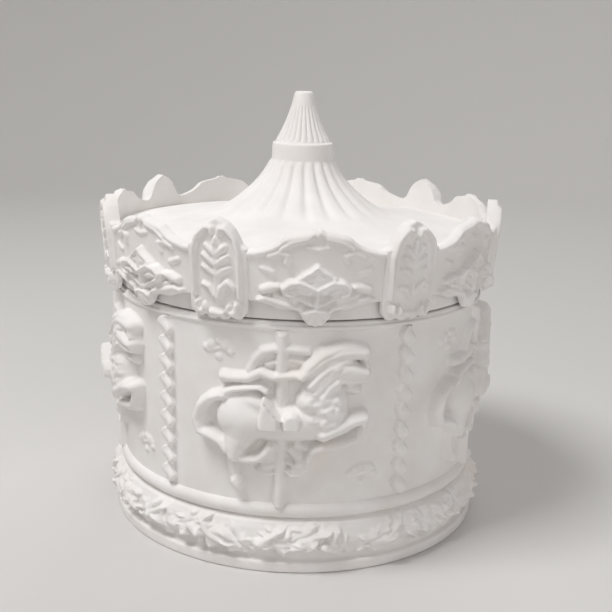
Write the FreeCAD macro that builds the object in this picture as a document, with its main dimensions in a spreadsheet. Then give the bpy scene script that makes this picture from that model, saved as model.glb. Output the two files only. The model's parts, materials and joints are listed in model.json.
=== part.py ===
import FreeCAD, Part
import math
import os

import Sketcher
from FreeCAD import Placement, Rotation, Vector

# Carousel music box: a ceramic drum and canopy lid, with a wind-up movement inside that turns the lid.
# Millimetres, +Z up, origin under the middle of the foot. A horse's pole faces -Y.

DRIVING_SIZES = [
    # Drum casting
    ("drum_radius", 68.7, "outside of the drum wall"),
    ("drum_wall", 4.7, "thickness of the drum wall"),
    ("drum_height", 88.0, "rim of the drum above the table"),
    ("floor_level", 24.0, "top of the drum's floor"),
    ("floor_thick", 5.0, "thickness of the drum's floor"),
    ("foot_wall", 8.0, "width of the ring that the box stands on"),
    ("plinth_step", 2.2, "how far the plinth stands out from the wall"),
    ("plinth_height", 3.0, "height of the plinth"),
    ("garland_step", 1.8, "how far the garland's band stands out"),
    ("garland_top", 17.5, "upper edge of the garland's band"),
    ("garland_leaves", 26, "leaves in the garland"),
    ("garland_relief", 2.6, "how far a leaf stands out of its band"),
    ("moulding_level", 21.6, "middle of the round moulding"),
    ("moulding_radius", 3.2, "section radius of the round moulding"),
    ("rim_bead_radius", 0.9, "section radius of the bead at the rim"),
    ("horse_count", 5, "horses around the drum"),
    ("near_relief", 6.2, "how far a horse's saddle, near legs and forelock stand out of the wall"),
    ("horse_relief", 4.6, "how far a horse's body stands out of the wall"),
    ("limb_relief", 3.0, "how far a horse's far legs, tail and mane stand out of the wall"),
    ("pole_radius", 1.8, "radius of a horse's pole"),
    ("column_radius", 2.1, "radius of a ribbon column"),
    # Lid casting
    ("lid_gap", 0.5, "gap between the drum's rim and the lid"),
    ("lid_wall", 4.5, "thickness of the lid's wall"),
    ("spigot_depth", 5.5, "how far the lid's spigot reaches into the drum"),
    ("spigot_wall", 3.4, "thickness of the spigot"),
    ("spigot_clearance", 0.6, "radial gap between spigot and drum"),
    ("crown_step", 3.7, "how far the crown's top stands out from the drum wall"),
    ("crown_foot_step", 1.5, "how far the crown's foot stands out from the drum wall"),
    ("crown_wall", 2.6, "thickness of the crown above the roof"),
    ("crown_relief", 2.2, "how far the crown's carving stands out of its face"),
    ("narrow_step", 1.1, "how far a narrow panel stands out from the wide ones"),
    ("crown_panels", 7, "wide panels, with as many narrow ones between them"),
    ("crown_turn", 8.6, "angle from the front to the middle of a wide panel, as the lid rests"),
    ("narrow_width", 21.0, "width of a narrow panel"),
    ("narrow_rise", 33.5, "top of a narrow panel above the lid's lower edge"),
    ("valley_rise", 24.5, "valleys between panels above the lid's lower edge"),
    ("crest_rise", 30.9, "top of a wide panel above the lid's lower edge"),
    ("wide_hem_rise", 6.5, "lower corners of a wide panel above the lid's lower edge"),
    ("shell_width", 10.0, "width of the shell under a wide panel"),
    ("shell_drop", 3.8, "depth of the shell under a wide panel"),
    ("eaves_rise", 19.3, "where the roof meets the crown, above the lid's lower edge"),
    ("knee_radius", 33.7, "where the flat roof turns up into the tent"),
    ("knee_rise", 25.5, "height of that turn above the lid's lower edge"),
    ("tent_bend", 40.0, "radius of the tent's hollow curve"),
    ("tent_ribs", 18, "ribs of the tent"),
    ("rib_share", 0.66, "part of a rib's room that it fills"),
    ("collar_radius", 12.0, "radius of the plain collar"),
    ("collar_rise", 44.7, "foot of the collar above the lid's lower edge"),
    ("collar_height", 6.5, "height of the collar"),
    ("finial_radius", 10.3, "foot of the finial"),
    ("finial_bend", 62.0, "radius of the finial's hollow curve"),
    ("finial_tip_radius", 3.4, "top of the finial"),
    ("finial_height", 18.6, "height of the finial"),
    ("finial_core", 10.0, "solid clay at the top of the finial"),
    # Lid drive
    ("hub_radius", 36.0, "radius of the hub disc glued under the roof"),
    ("hub_land", 7.0, "width of the ring under the roof that the hub is glued to"),
    ("hub_thick", 4.0, "thickness of the hub disc"),
    ("hub_bore_radius", 5.5, "hole in the hub disc that clears the nut"),
    ("turntable_radius", 17.0, "radius of the turntable"),
    ("turntable_thick", 2.5, "thickness of the turntable"),
    ("pin_radius", 1.5, "radius of a drive pin"),
    ("pin_circle", 12.0, "distance of a drive pin from the axis"),
    ("pin_clearance", 0.1, "radial play of a drive pin in the hub"),
    ("post_radius", 2.5, "radius of the drive post"),
    ("post_thread_radius", 2.0, "radius of the drive post's threaded end"),
    ("post_flange_radius", 7.0, "radius of the drive post's foot"),
    ("post_flange_thick", 1.5, "thickness of the drive post's foot"),
    ("nut_width", 7.0, "width of the turntable nut across its flats"),
    ("nut_height", 2.2, "height of the turntable nut"),
    # Movement frame
    ("pad_thick", 1.5, "thickness of an isolation pad"),
    ("pad_radius", 5.0, "radius of an isolation pad"),
    ("bed_thick", 2.5, "thickness of the bedplate"),
    ("bed_corner", 5.0, "cut corner of the bedplate"),
    ("screw_radius", 1.5, "radius of a mounting screw"),
    ("screw_head_radius", 2.8, "radius of a mounting screw's head"),
    ("screw_head_height", 1.8, "height of a mounting screw's head"),
    ("screw_play", 0.3, "radial play of a mounting screw in the floor"),
    ("washer_radius", 3.8, "radius of a mounting washer"),
    ("washer_thick", 0.6, "thickness of a mounting washer"),
    ("small_screw_radius", 0.9, "radius of a movement screw"),
    ("small_head_radius", 1.6, "radius of a movement screw's head"),
    ("small_head_height", 1.2, "height of a movement screw's head"),
    ("bearing_thick", 1.6, "thickness of bearings, post and bracket"),
    ("running_clearance", 0.05, "radial play of a shaft in its bearing"),
    ("side_play", 0.6, "gap beside a turning piece"),
    # Winding and spring
    ("stem_hole_radius", 8.0, "hole in the floor around the winding stem"),
    ("arbor_radius", 2.0, "radius of the winding arbor"),
    ("arbor_hub_radius", 2.8, "radius of the winding arbor inside the barrel"),
    ("bush_radius", 3.0, "radius of the bush's sleeve"),
    ("bush_neck_radius", 3.6, "radius of the bush in the bedplate"),
    ("bush_flange_radius", 5.2, "radius of the bush's flange"),
    ("bush_flange_thick", 1.2, "thickness of the bush's flange"),
    ("bush_sleeve", 5.0, "length of the bush's sleeve below its flange"),
    ("clutch_wire_radius", 0.4, "radius of the clutch spring's wire"),
    ("clutch_pitch", 1.3, "pitch of the clutch spring"),
    ("key_sleeve_radius", 4.0, "radius of the key's sleeve"),
    ("key_ground", 3.5, "gap between the key and the table"),
    ("key_wing_radius", 6.0, "radius of a key wing"),
    ("key_wing_reach", 8.6, "distance of a wing's middle from the axis"),
    ("key_wing_hole", 2.4, "radius of the hole in a key wing"),
    ("key_thick", 2.2, "thickness of the key's wings"),
    ("barrel_radius", 12.0, "outside of the spring barrel"),
    ("barrel_wall", 1.0, "wall of the spring barrel"),
    ("barrel_floor", 1.2, "floor of the spring barrel"),
    ("barrel_height", 14.0, "height of the spring barrel"),
    ("barrel_ground", 1.0, "gap between barrel and bedplate"),
    ("cap_thick", 1.5, "thickness of the barrel cap"),
    ("cap_lip", 1.0, "depth of the cap's lip inside the barrel"),
    ("strip_thick", 0.35, "thickness of the mainspring's strip"),
    ("strip_turns", 6, "turns of the mainspring"),
    ("strip_gap", 0.3, "gap around the coiled mainspring"),
    # Gears
    ("crown_module", 0.8, "tooth size of the barrel's crown gear"),
    ("crown_teeth", 36, "teeth of the crown gear"),
    ("pinion_teeth", 12, "teeth of the cylinder pinion"),
    ("crown_face", 1.6, "width of the crown gear's teeth"),
    ("flange_thick", 2.0, "thickness of the crown gear's flange"),
    ("fine_module", 0.5, "tooth size of the fine gears"),
    ("gear_teeth", 36, "teeth of the cylinder gear"),
    ("governor_teeth", 12, "teeth of the governor pinion"),
    ("wheel_teeth", 16, "teeth of the worm wheel"),
    ("gear_width", 1.5, "width of the fine gears"),
    ("wheel_width", 1.3, "width of the worm wheel"),
    ("worm_radius", 1.75, "pitch radius of the worm"),
    ("worm_turns", 4.5, "turns of the worm's thread"),
    # Cylinder, comb and governor
    ("cylinder_radius", 6.5, "radius of the pinned cylinder"),
    ("cylinder_length", 20.0, "length of the pinned cylinder"),
    ("cylinder_wall", 0.8, "wall of the pinned cylinder"),
    ("pin_height", 1.0, "height of a tune pin"),
    ("pin_thick", 0.22, "radius of a tune pin"),
    ("pins_per_note", 3, "tune pins for each note"),
    ("note_count", 18, "teeth of the comb"),
    ("note_gap", 0.15, "gap between a tune pin and its tooth"),
    ("note_slot", 0.35, "slot between two teeth"),
    ("note_length", 9.0, "length of a tooth"),
    ("comb_thick", 1.0, "thickness of the comb"),
    ("comb_heel", 8.5, "depth of the comb behind its teeth"),
    ("weight_count", 8, "teeth that carry a tuning weight"),
    ("weight_length", 3.0, "length of a tuning weight"),
    ("weight_height", 2.2, "height of a tuning weight"),
    ("shaft_radius", 1.1, "radius of the cylinder arbor"),
    ("fine_shaft_radius", 0.8, "radius of the governor arbor and the worm's shaft"),
    ("brake_reach", 5.5, "reach of an air brake wing"),
    ("brake_height", 5.0, "height of an air brake wing"),
    ("brake_thick", 0.4, "thickness of an air brake wing"),
]

# A horse's outlines on the wall: offset from its pole and height above the middle of the wall. They lie in three
# layers: what stands out most, the body, and the far legs, tail and mane.
HORSE_NEAR = [
    [(9.0, 19.6), (12.0, 24.4), (18.0, 26.6), (25.0, 25.6), (29.2, 22.6), (27.4, 20.4), (20.0, 20.2), (14.0, 18.2)],
    [(8.8, 6.4), (12.0, 9.6), (17.0, 9.6), (21.0, 5.6), (22.4, 2.2), (29.0, 2.4), (31.0, 0.4), (28.6, -2.6),
     (22.0, -6.0), (14.0, -7.4), (9.2, -3.4)],
    [(-19.6, 3.4), (-16.4, 7.2), (-11.4, 7.4), (-8.2, 4.0), (-8.4, -1.0), (-10.8, -5.0), (-11.6, -9.0),
     (-13.4, -14.0), (-18.6, -14.4), (-21.2, -8.6), (-20.6, -2.0)],
    [(-6.8, 3.6), (-6.4, -3.4), (7.2, -3.4), (7.2, 4.6), (2.6, 6.4), (0.2, 2.6), (-3.6, 6.6)],
]
HORSE_BODY = [
    [(19.5, 26.5), (24.5, 24.8), (29.3, 17.6), (28.4, 14.0), (25.4, 14.4), (23.4, 17.2), (21.4, 14.2),
     (24.2, 8.5), (24.6, 3.0), (20.0, -3.0), (8.0, -6.6), (-4.0, -6.2), (-9.0, -5.2), (-12.0, -9.0),
     (-18.0, -8.4), (-21.0, -2.4), (-20.2, 4.6), (-15.0, 9.4), (-8.0, 9.0), (-6.6, 10.6), (6.2, 10.6),
     (8.2, 12.4), (9.4, 17.4), (13.0, 23.2), (16.6, 26.4)],
]
HORSE_LIMBS = [
    [(-19.0, 6.0), (-24.0, 8.0), (-29.4, 4.6), (-31.4, -1.6), (-30.0, -7.6), (-26.0, -10.6), (-21.4, -9.6),
     (-22.6, -6.2), (-26.0, -5.2), (-27.0, -1.2), (-24.6, 2.4), (-20.0, 1.0)],
    [(-19.0, -7.0), (-18.6, -15.0), (-17.4, -20.0), (-18.0, -24.6), (-12.2, -24.6), (-13.0, -20.0),
     (-13.0, -15.6), (-6.2, -17.4), (-5.6, -14.0), (-9.2, -12.0), (-8.0, -6.0)],
    [(22.0, 4.0), (29.0, 3.6), (31.0, 0.6), (29.0, -9.4), (25.6, -9.4), (26.0, -2.0), (22.0, -2.4)],
    [(6.0, -5.6), (10.0, -12.0), (14.0, -12.8), (24.8, -10.6), (24.8, -7.2), (14.6, -8.6), (12.0, -4.6)],
    [(14.0, 25.4), (5.0, 24.6), (-6.4, 25.2), (-8.0, 22.6), (-1.4, 20.2), (-11.0, 17.6), (-21.0, 15.2),
     (-21.0, 12.6), (-11.6, 13.6), (1.0, 15.6), (9.0, 15.0)],
]


# Outlines of the crown's carving: offset from the panel's middle and height above the lid's lower edge. The side
# ones are mirrored to the other half of the panel.
WIDE_SIDE = [
    [(-1.2, 12.0), (-5.0, 15.0), (-9.6, 15.8), (-12.6, 13.4), (-11.8, 10.4), (-8.4, 11.0), (-4.2, 10.4)],
    [(-1.0, 7.2), (-2.6, 9.4), (-10.0, 9.6), (-17.4, 10.2), (-16.0, 7.6), (-9.0, 5.8)],
    [(-13.4, 13.8), (-16.4, 13.6), (-17.0, 11.4), (-13.4, 11.0)],
    [(-18.0, 21.6), (-15.0, 25.2), (-11.0, 24.6), (-8.2, 21.0), (-9.8, 18.2), (-11.8, 19.2), (-11.2, 22.0),
     (-14.2, 23.0)],
    [(-11.8, 25.8), (-7.8, 28.2), (-2.0, 29.2), (-2.0, 27.4), (-7.4, 26.4), (-11.0, 25.0)],
]
WIDE_MIDDLE = [
    [(0.0, 20.2), (-2.0, 17.4), (-5.6, 15.9), (-2.4, 13.6), (0.0, 11.6), (2.4, 13.6), (5.6, 15.9), (2.0, 17.4)],
    [(0.0, 0.2), (2.6, 0.9), (4.3, 2.8), (4.3, 4.6), (2.6, 6.0), (-2.6, 6.0), (-4.3, 4.6), (-4.3, 2.8), (-2.6, 0.9)],
]
NARROW_SIDE = [
    [(-9.0, 9.6), (-9.0, 23.0), (-7.6, 27.4), (-4.4, 30.4), (-1.2, 31.0), (-1.4, 29.4), (-3.6, 28.6), (-5.8, 26.2),
     (-7.0, 22.6), (-7.0, 9.6)],
    [(-0.5, 22.4), (-3.4, 25.0), (-3.8, 26.6), (-0.5, 25.0)],
    [(-0.5, 19.0), (-3.8, 21.2), (-4.6, 23.0), (-0.5, 21.6)],
    [(-0.5, 15.8), (-4.0, 17.6), (-4.8, 19.4), (-0.5, 18.2)],
    [(-7.8, 4.8), (-5.6, 4.2), (-4.0, 6.0), (-5.0, 8.2), (-7.4, 8.0)],
]
NARROW_MIDDLE = [
    [(-2.4, 3.4), (2.4, 3.4), (2.8, 6.0), (0.0, 7.4), (-2.8, 6.0)],
    [(0.6, 9.0), (1.6, 12.8), (4.4, 15.2), (6.4, 13.4), (4.8, 12.4), (3.4, 12.2), (2.4, 9.0)],
]

# Half of a wide panel's edges, from its side to its middle: shares of its half width and of the edge's rise
WIDE_TOP_EDGE = [(0.74, 0.0), (0.5, 0.55), (0.37, 0.7), (0.2, 0.86)]
NARROW_SHOULDER = 0.86
NARROW_FOOT = 0.6
HEM_TURN = 0.55

# Teeth are slimmer and lower than the standard form, which leaves them room to run free
TOOTH_SHARE = 0.36
TIP_SHARE = 0.2
ADDENDUM = 0.65
DEDENDUM = 1.05
ROOT_OVERLAP = 0.4

# A garland leaf's half length and half height as shares of the room each leaf has, and its tilt
LEAF_LENGTH = 0.8
LEAF_HEIGHT = 0.62
LEAF_TILT = 28.0

# Carving is raised from within a hidden core, which fills this share of the band that keeps it, and starts at
# this share of the core
CORE_SHARE = 0.5
RAY_START = 0.8

# The tent's ribs lie between a flatter and a tighter curve than the tent's own
RIB_FACE_BEND = 1.4
RIB_ROOT_BEND = 0.75

# Tune pins go round by the golden angle from note to note, with a drift from beat to beat
GOLDEN_ANGLE = 137.5
BEAT_DRIFT = 4.0

# Places along the cylinder of the worm wheel and of the comb's screws, as shares of its length
WHEEL_SHARE = 0.62
COMB_SCREW_SHARES = (0.2, 0.8)

# How far screws reach into the bedplate, as a share of its thickness
THREAD_SHARE = 0.8
COMB_THREAD_SHARE = 0.7

# Small set-backs: the clutch spring's seat in wire radii, the pinion's play beside the crown's teeth, the run-out
# of the comb's slots, a weight's distance from the tip as a share of the tooth, and a brake wing's root in shaft radii
CLUTCH_SEAT = 1.5
PINION_PLAY = 0.2
SLOT_RUNOUT = 1.0
WEIGHT_SETBACK = 0.15
WING_ROOT = 1.5

DEGREES_PER_RADIAN = 180.0 / math.pi


class Size:
    """A number together with the spreadsheet formula that gives it."""

    def __init__(self, value, formula):
        self.value = float(value)
        self.formula = formula

    def __add__(self, other):
        other = as_size(other)
        return Size(self.value + other.value, f"({self.formula} + {other.formula})")

    def __sub__(self, other):
        other = as_size(other)
        return Size(self.value - other.value, f"({self.formula} - {other.formula})")

    def __mul__(self, other):
        other = as_size(other)
        return Size(self.value * other.value, f"({self.formula} * {other.formula})")

    def __truediv__(self, other):
        other = as_size(other)
        return Size(self.value / other.value, f"({self.formula} / {other.formula})")

    def __neg__(self):
        return Size(-self.value, f"(0 - {self.formula})")

    def __radd__(self, other):
        return as_size(other) + self

    def __rsub__(self, other):
        return as_size(other) - self

    def __rmul__(self, other):
        return as_size(other) * self

    def __rtruediv__(self, other):
        return as_size(other) / self


def as_size(number):
    return number if isinstance(number, Size) else Size(number, f"({float(number)!r})")


def sine(angle):
    angle = as_size(angle)
    return Size(math.sin(math.radians(angle.value)), f"sin({angle.formula})")


def cosine(angle):
    angle = as_size(angle)
    return Size(math.cos(math.radians(angle.value)), f"cos({angle.formula})")


doc = FreeCAD.newDocument("CarouselMusicBox")
sheet = doc.addObject("Spreadsheet::Sheet", "Sizes")


class Named:
    """The driving sizes by name, and the levels worked out from them."""


s = Named()
for row, (alias, value, meaning) in enumerate(DRIVING_SIZES, start=1):
    sheet.set(f"A{row}", meaning)
    sheet.set(f"B{row}", str(value))
    sheet.setAlias(f"B{row}", alias)
    setattr(s, alias, Size(value, f"Sizes.{alias}"))
doc.recompute()

NODES = []
ZERO = as_size(0.0)


# Helpers that make bound features

def node(obj, label):
    obj.Label = label
    NODES.append(obj)
    return obj


def new_body(label):
    return doc.addObject("PartDesign::Body", label)


def origin_feature(body, role):
    return next(item for item in body.Origin.OriginFeatures if item.Role == role)


def new_sketch(body, name, role, offset=ZERO):
    sketch = body.newObject("Sketcher::SketchObject", name)
    sketch.AttachmentSupport = [(origin_feature(body, role), "")]
    sketch.MapMode = "FlatFace"
    sketch.setExpression("AttachmentOffset.Base.z", offset.formula)
    return sketch


def drive(sketch, constraint, size):
    index = sketch.addConstraint(constraint)
    sketch.setExpression(f"Constraints[{index}]", size.formula)


def pin_point(sketch, geometry, point, x, y):
    drive(sketch, Sketcher.Constraint("DistanceX", -1, 1, geometry, point, x.value), x)
    drive(sketch, Sketcher.Constraint("DistanceY", -1, 1, geometry, point, y.value), y)


def arc_between(start, end, radius):
    """A short arc from start to end. A positive radius puts its centre left of the way, a negative one right."""
    chord = end - start
    reach = math.sqrt(radius * radius - chord.Length * chord.Length / 4.0)
    left = Vector(-chord.y, chord.x, 0).normalize()
    centre = (start + end) * 0.5 + left * math.copysign(reach, radius)
    first, last = (start, end) if radius > 0 else (end, start)
    angles = [math.atan2(point.y - centre.y, point.x - centre.x) for point in (first, last)]
    if angles[1] < angles[0]:
        angles[1] += 2.0 * math.pi
    return Part.ArcOfCircle(Part.Circle(centre, Vector(0, 0, 1), abs(radius)), angles[0], angles[1])


def draw_outline(sketch, corners):
    """A closed outline. A corner is (x, y), or (x, y, radius) where an arc leads to the next corner."""
    corners = [tuple(as_size(value) for value in corner) for corner in corners]
    points = [Vector(corner[0].value, corner[1].value, 0) for corner in corners]
    ends = []
    for index, corner in enumerate(corners):
        start = points[index]
        end = points[(index + 1) % len(points)]
        if len(corner) == 2:
            geometry = sketch.addGeometry(Part.LineSegment(start, end), False)
            ends.append((geometry, 1, 2))
            continue
        radius = corner[2]
        geometry = sketch.addGeometry(arc_between(start, end, radius.value), False)
        ends.append((geometry, 1, 2) if radius.value > 0 else (geometry, 2, 1))
        size = radius if radius.value > 0 else -radius
        drive(sketch, Sketcher.Constraint("Radius", geometry, size.value), size)
    for index, (geometry, first, last) in enumerate(ends):
        next_geometry, next_first, unused = ends[(index + 1) % len(ends)]
        sketch.addConstraint(Sketcher.Constraint("Coincident", geometry, last, next_geometry, next_first))
        pin_point(sketch, geometry, first, corners[index][0], corners[index][1])


def draw_circle(sketch, x, y, radius):
    x, y, radius = as_size(x), as_size(y), as_size(radius)
    centre = Vector(x.value, y.value, 0)
    geometry = sketch.addGeometry(Part.Circle(centre, Vector(0, 0, 1), radius.value), False)
    pin_point(sketch, geometry, 3, x, y)
    drive(sketch, Sketcher.Constraint("Radius", geometry, radius.value), radius)


def box_corners(x0, x1, y0, y1):
    return [(x0, y0), (x1, y0), (x1, y1), (x0, y1)]


def revolve(body, name, corners=None, ring=None):
    """Turn an outline of (radius, height) corners, or a ring's round section, about the body's Z axis."""
    sketch = new_sketch(body, name + "_profile", "XZ_Plane")
    if corners:
        draw_outline(sketch, corners)
    else:
        draw_circle(sketch, *ring)
    feature = body.newObject("PartDesign::Revolution", name)
    feature.Profile = sketch
    feature.ReferenceAxis = (sketch, ["V_Axis"])
    feature.Angle = 360
    return feature


def pad(body, name, role, offset, length, corners=None, circles=(), symmetric=False):
    """Raise an outline, or the first circle, with the other circles as holes."""
    sketch = new_sketch(body, name + "_outline", role, as_size(offset))
    if corners:
        draw_outline(sketch, corners)
    for circle in circles:
        draw_circle(sketch, *circle)
    feature = body.newObject("PartDesign::Pad", name)
    feature.Profile = sketch
    feature.setExpression("Length", as_size(length).formula)
    if symmetric:
        feature.SideType = "Symmetric"
    return feature


def cut_outwards(body, name, corners, turn=ZERO):
    """Cut an outline of (sideways, height) corners through the body's +X side, turned about the Z axis."""
    sketch = new_sketch(body, name + "_outline", "YZ_Plane")
    sketch.AttachmentOffset = Placement(Vector(), Rotation(Vector(0, 1, 0), turn.value))
    sketch.setExpression("AttachmentOffset.Rotation.Angle", turn.formula)
    draw_outline(sketch, corners)
    feature = body.newObject("PartDesign::Pocket", name)
    feature.Profile = sketch
    feature.Type = "ThroughAll"
    feature.Reversed = True
    return feature


def polar(body, name, originals, count):
    pattern = body.newObject("PartDesign::PolarPattern", name)
    pattern.Originals = originals
    pattern.Axis = (origin_feature(body, "Z_Axis"), [""])
    pattern.Angle = 360
    pattern.setExpression("Occurrences", count.formula)
    body.Tip = pattern
    return pattern


def place(obj, x=ZERO, y=ZERO, z=ZERO, rotation=None):
    if rotation:
        obj.Placement = Placement(Vector(), rotation)
    for axis, size in zip("xyz", (x, y, z)):
        obj.setExpression(f"Placement.Base.{axis}", as_size(size).formula)


def turned(label, corners, x=ZERO, y=ZERO, z=ZERO, rotation=None):
    """A piece turned on a lathe, placed where it belongs."""
    body = new_body(label)
    revolve(body, label + "_turn", corners)
    place(body, x, y, z, rotation)
    return body


def group(label, members):
    """Like pieces kept together as one node of separate solids."""
    compound = doc.addObject("Part::Compound", label)
    compound.Links = members
    return node(compound, label)


def screw(label, x, y, z, shank, length, head, height, rotation=None):
    """A cheese-head screw whose head sits on level z and whose shank goes down from there."""
    corners = [(0, -length), (shank, -length), (shank, 0), (head, 0), (head, height), (0, height)]
    return turned(label, corners, x, y, z, rotation)


ALONG_X = Rotation(Vector(0, 1, 0), 90)
UPSIDE_DOWN = Rotation(Vector(1, 0, 0), 180)

# Levels and places worked out from the driving sizes
drum_inside = s.drum_radius - s.drum_wall
wall_middle = (s.drum_height + s.moulding_level) / 2
floor_under = s.floor_level - s.floor_thick
recess_radius = s.drum_radius + s.plinth_step - s.foot_wall

lid_base = s.drum_height + s.lid_gap
spigot_outside = drum_inside - s.spigot_clearance
crown_outside = s.drum_radius + s.crown_step
crown_inside = crown_outside - s.crown_wall
eaves_level = lid_base + s.eaves_rise
knee_level = lid_base + s.knee_rise
collar_level = lid_base + s.collar_rise
collar_top = collar_level + s.collar_height
finial_top = collar_top + s.finial_height

hub_top = knee_level - s.lid_wall
turntable_top = hub_top - s.hub_thick
turntable_under = turntable_top - s.turntable_thick

bed_under = s.floor_level + s.pad_thick
bed_top = bed_under + s.bed_thick
barrel_base = bed_top + s.barrel_ground
barrel_top = barrel_base + s.barrel_height
cap_top = barrel_top + s.cap_thick
barrel_inside = s.barrel_radius - s.barrel_wall
arbor_bore = s.arbor_radius + s.running_clearance
bush_foot = bed_under - s.bush_flange_thick - s.bush_sleeve
key_top = bush_foot - s.lid_gap

crown_pitch_radius = s.crown_module * s.crown_teeth / 2
pinion_pitch_radius = s.crown_module * s.pinion_teeth / 2
gear_pitch_radius = s.fine_module * s.gear_teeth / 2
governor_pitch_radius = s.fine_module * s.governor_teeth / 2
wheel_pitch_radius = s.fine_module * s.wheel_teeth / 2

# The cylinder's axis clears the bedplate by its gear, and the crown gear's level follows from it
axis_level = bed_top + gear_pitch_radius + s.fine_module * ADDENDUM + s.side_play
crown_pitch_level = axis_level - pinion_pitch_radius
flange_top = crown_pitch_level - s.crown_module * DEDENDUM
flange_radius = crown_pitch_radius + s.crown_face / 2

inner_bearing_x = flange_radius + s.side_play
cylinder_x = inner_bearing_x + s.bearing_thick + s.side_play
cylinder_end = cylinder_x + s.cylinder_length
gear_x = cylinder_end + s.side_play
outer_bearing_x = gear_x + s.gear_width + s.side_play
governor_y = gear_pitch_radius + governor_pitch_radius
worm_y = governor_y + wheel_pitch_radius + s.worm_radius
wheel_x = cylinder_x + s.cylinder_length * WHEEL_SHARE
worm_x = wheel_x + s.wheel_width / 2
note_pitch = s.cylinder_length / s.note_count
tip_y = -(s.cylinder_radius + s.pin_height + s.note_gap)
heel_y = tip_y - s.note_length
comb_back = heel_y - s.comb_heel
comb_under = axis_level - s.comb_thick / 2


# Drum casting: wall, floor, foot ring and plinth turned, then holes, garland, columns, poles and horses

mount_spots = [
    (-(s.barrel_radius + s.screw_radius), comb_back + s.pad_radius),
    (-(s.barrel_radius + s.screw_radius), worm_y + s.screw_radius),
    (outer_bearing_x - s.washer_radius, worm_y + s.washer_radius),
]


def on_wall(feature, along, height, tilt=0.0):
    """Centre a form on the drum's wall, square to it, with along measured round the wall."""
    angle = as_size(along) / s.drum_radius * DEGREES_PER_RADIAN
    rotation = Rotation(Vector(0, 0, 1), angle.value).multiply(Rotation(Vector(0, 1, 0), -tilt))
    place(feature, s.drum_radius * sine(angle), -(s.drum_radius * cosine(angle)), height, rotation)


def ellipsoid(body, name, half_length, relief, half_height):
    feature = body.newObject("PartDesign::AdditiveEllipsoid", name)
    feature.setExpression("Radius1", as_size(half_height).formula)
    feature.setExpression("Radius2", as_size(half_length).formula)
    feature.setExpression("Radius3", as_size(relief).formula)
    return feature


def upright(body, name, radius, low, high, along):
    feature = body.newObject("PartDesign::AdditiveCylinder", name)
    feature.setExpression("Radius", radius.formula)
    feature.setExpression("Height", (high - low).formula)
    on_wall(feature, along, low)
    return feature


def relief_layer(label, outlines, level, ring, count, turn=ZERO):
    """Outlines, as offsets and heights from a level, kept where they pass through a ring, count times round."""
    core = s.drum_radius * CORE_SHARE
    rays = new_body(label + "_rays")
    revolve(rays, label + "_core", box_corners(ZERO, core, ring[0][1], ring[-1][1]))
    sketch = new_sketch(rays, label + "_outline", "XZ_Plane", core * RAY_START)
    for outline in outlines:
        draw_outline(sketch, [(x, level + z) for x, z in outline])
    raised = rays.newObject("PartDesign::Pad", label + "_raised")
    raised.Profile = sketch
    raised.setExpression("Length", (s.drum_radius + s.near_relief).formula)
    polar(rays, label + "_round", [raised], count)
    place(rays, rotation=Rotation(Vector(0, 0, 1), turn.value))
    rays.setExpression("Placement.Rotation.Angle", turn.formula)
    band = new_body(label + "_band")
    revolve(band, label + "_ring", ring)
    layer = doc.addObject("Part::Common", label)
    layer.Base = band
    layer.Tool = rays
    return layer


def wall_layer(label, outlines, relief):
    """Carving on the drum's wall, once for each horse."""
    low = s.moulding_level
    high = s.drum_height - s.rim_bead_radius * 4
    ring = box_corners(s.drum_radius - s.drum_wall / 2, s.drum_radius + relief, low, high)
    return relief_layer(label, outlines, wall_middle, ring, s.horse_count)


def drum_casting():
    body = new_body("drum_turning")
    plinth = s.drum_radius + s.plinth_step
    band = s.drum_radius + s.garland_step
    revolve(body, "drum_wall", [
        (s.stem_hole_radius, floor_under),
        (recess_radius, floor_under),
        (recess_radius, 0),
        (plinth - s.plinth_height / 2, 0),
        (plinth, s.plinth_height / 2, s.plinth_height / 2),
        (plinth - s.plinth_height / 2, s.plinth_height),
        (band, s.plinth_height + s.garland_step),
        (band, s.garland_top),
        (s.drum_radius, s.garland_top + s.garland_step),
        (s.drum_radius, s.drum_height),
        (drum_inside, s.drum_height),
        (drum_inside, s.floor_level),
        (s.stem_hole_radius, s.floor_level),
    ])
    revolve(body, "moulding", ring=(s.drum_radius, s.moulding_level, s.moulding_radius))
    bead_level = s.drum_height - s.rim_bead_radius * 2
    revolve(body, "rim_bead", ring=(s.drum_radius, bead_level, s.rim_bead_radius))
    holes = new_sketch(body, "mount_holes", "XY_Plane", s.floor_level)
    for x, y in mount_spots:
        draw_circle(holes, x, y, s.screw_radius + s.screw_play)
    pocket = body.newObject("PartDesign::Pocket", "mount_pocket")
    pocket.Profile = holes
    pocket.setExpression("Length", s.floor_thick.formula)

    leaf_level = (s.plinth_height + s.garland_top) / 2
    leaf_half = math.pi * band / s.garland_leaves
    relief = s.garland_step + s.garland_relief
    leaf = ellipsoid(body, "leaf", leaf_half * LEAF_LENGTH, relief, leaf_half * LEAF_HEIGHT)
    on_wall(leaf, 0, leaf_level, LEAF_TILT)
    polar(body, "garland", [leaf], s.garland_leaves)

    half_bay = math.pi * s.drum_radius / s.horse_count
    rim_low = s.drum_height - s.rim_bead_radius * 2
    column = upright(body, "column", s.column_radius, s.moulding_level, rim_low, half_bay)
    polar(body, "columns", [column], s.horse_count)
    pole = upright(body, "pole", s.pole_radius, s.moulding_level, rim_low, 0)
    polar(body, "poles", [pole], s.horse_count)
    casting = doc.addObject("Part::MultiFuse", "drum_casting")
    casting.Shapes = [
        body,
        wall_layer("horse_near", HORSE_NEAR, s.near_relief),
        wall_layer("horse_bodies", HORSE_BODY, s.horse_relief),
        wall_layer("horse_limbs", HORSE_LIMBS, s.limb_relief),
    ]
    return node(casting, "drum_casting")


# Lid casting: a crown ring cut into panels, then skirt, spigot, roof, tent, collar and finial turned as one, then
# the tent's ribs and the crown's carving

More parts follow.
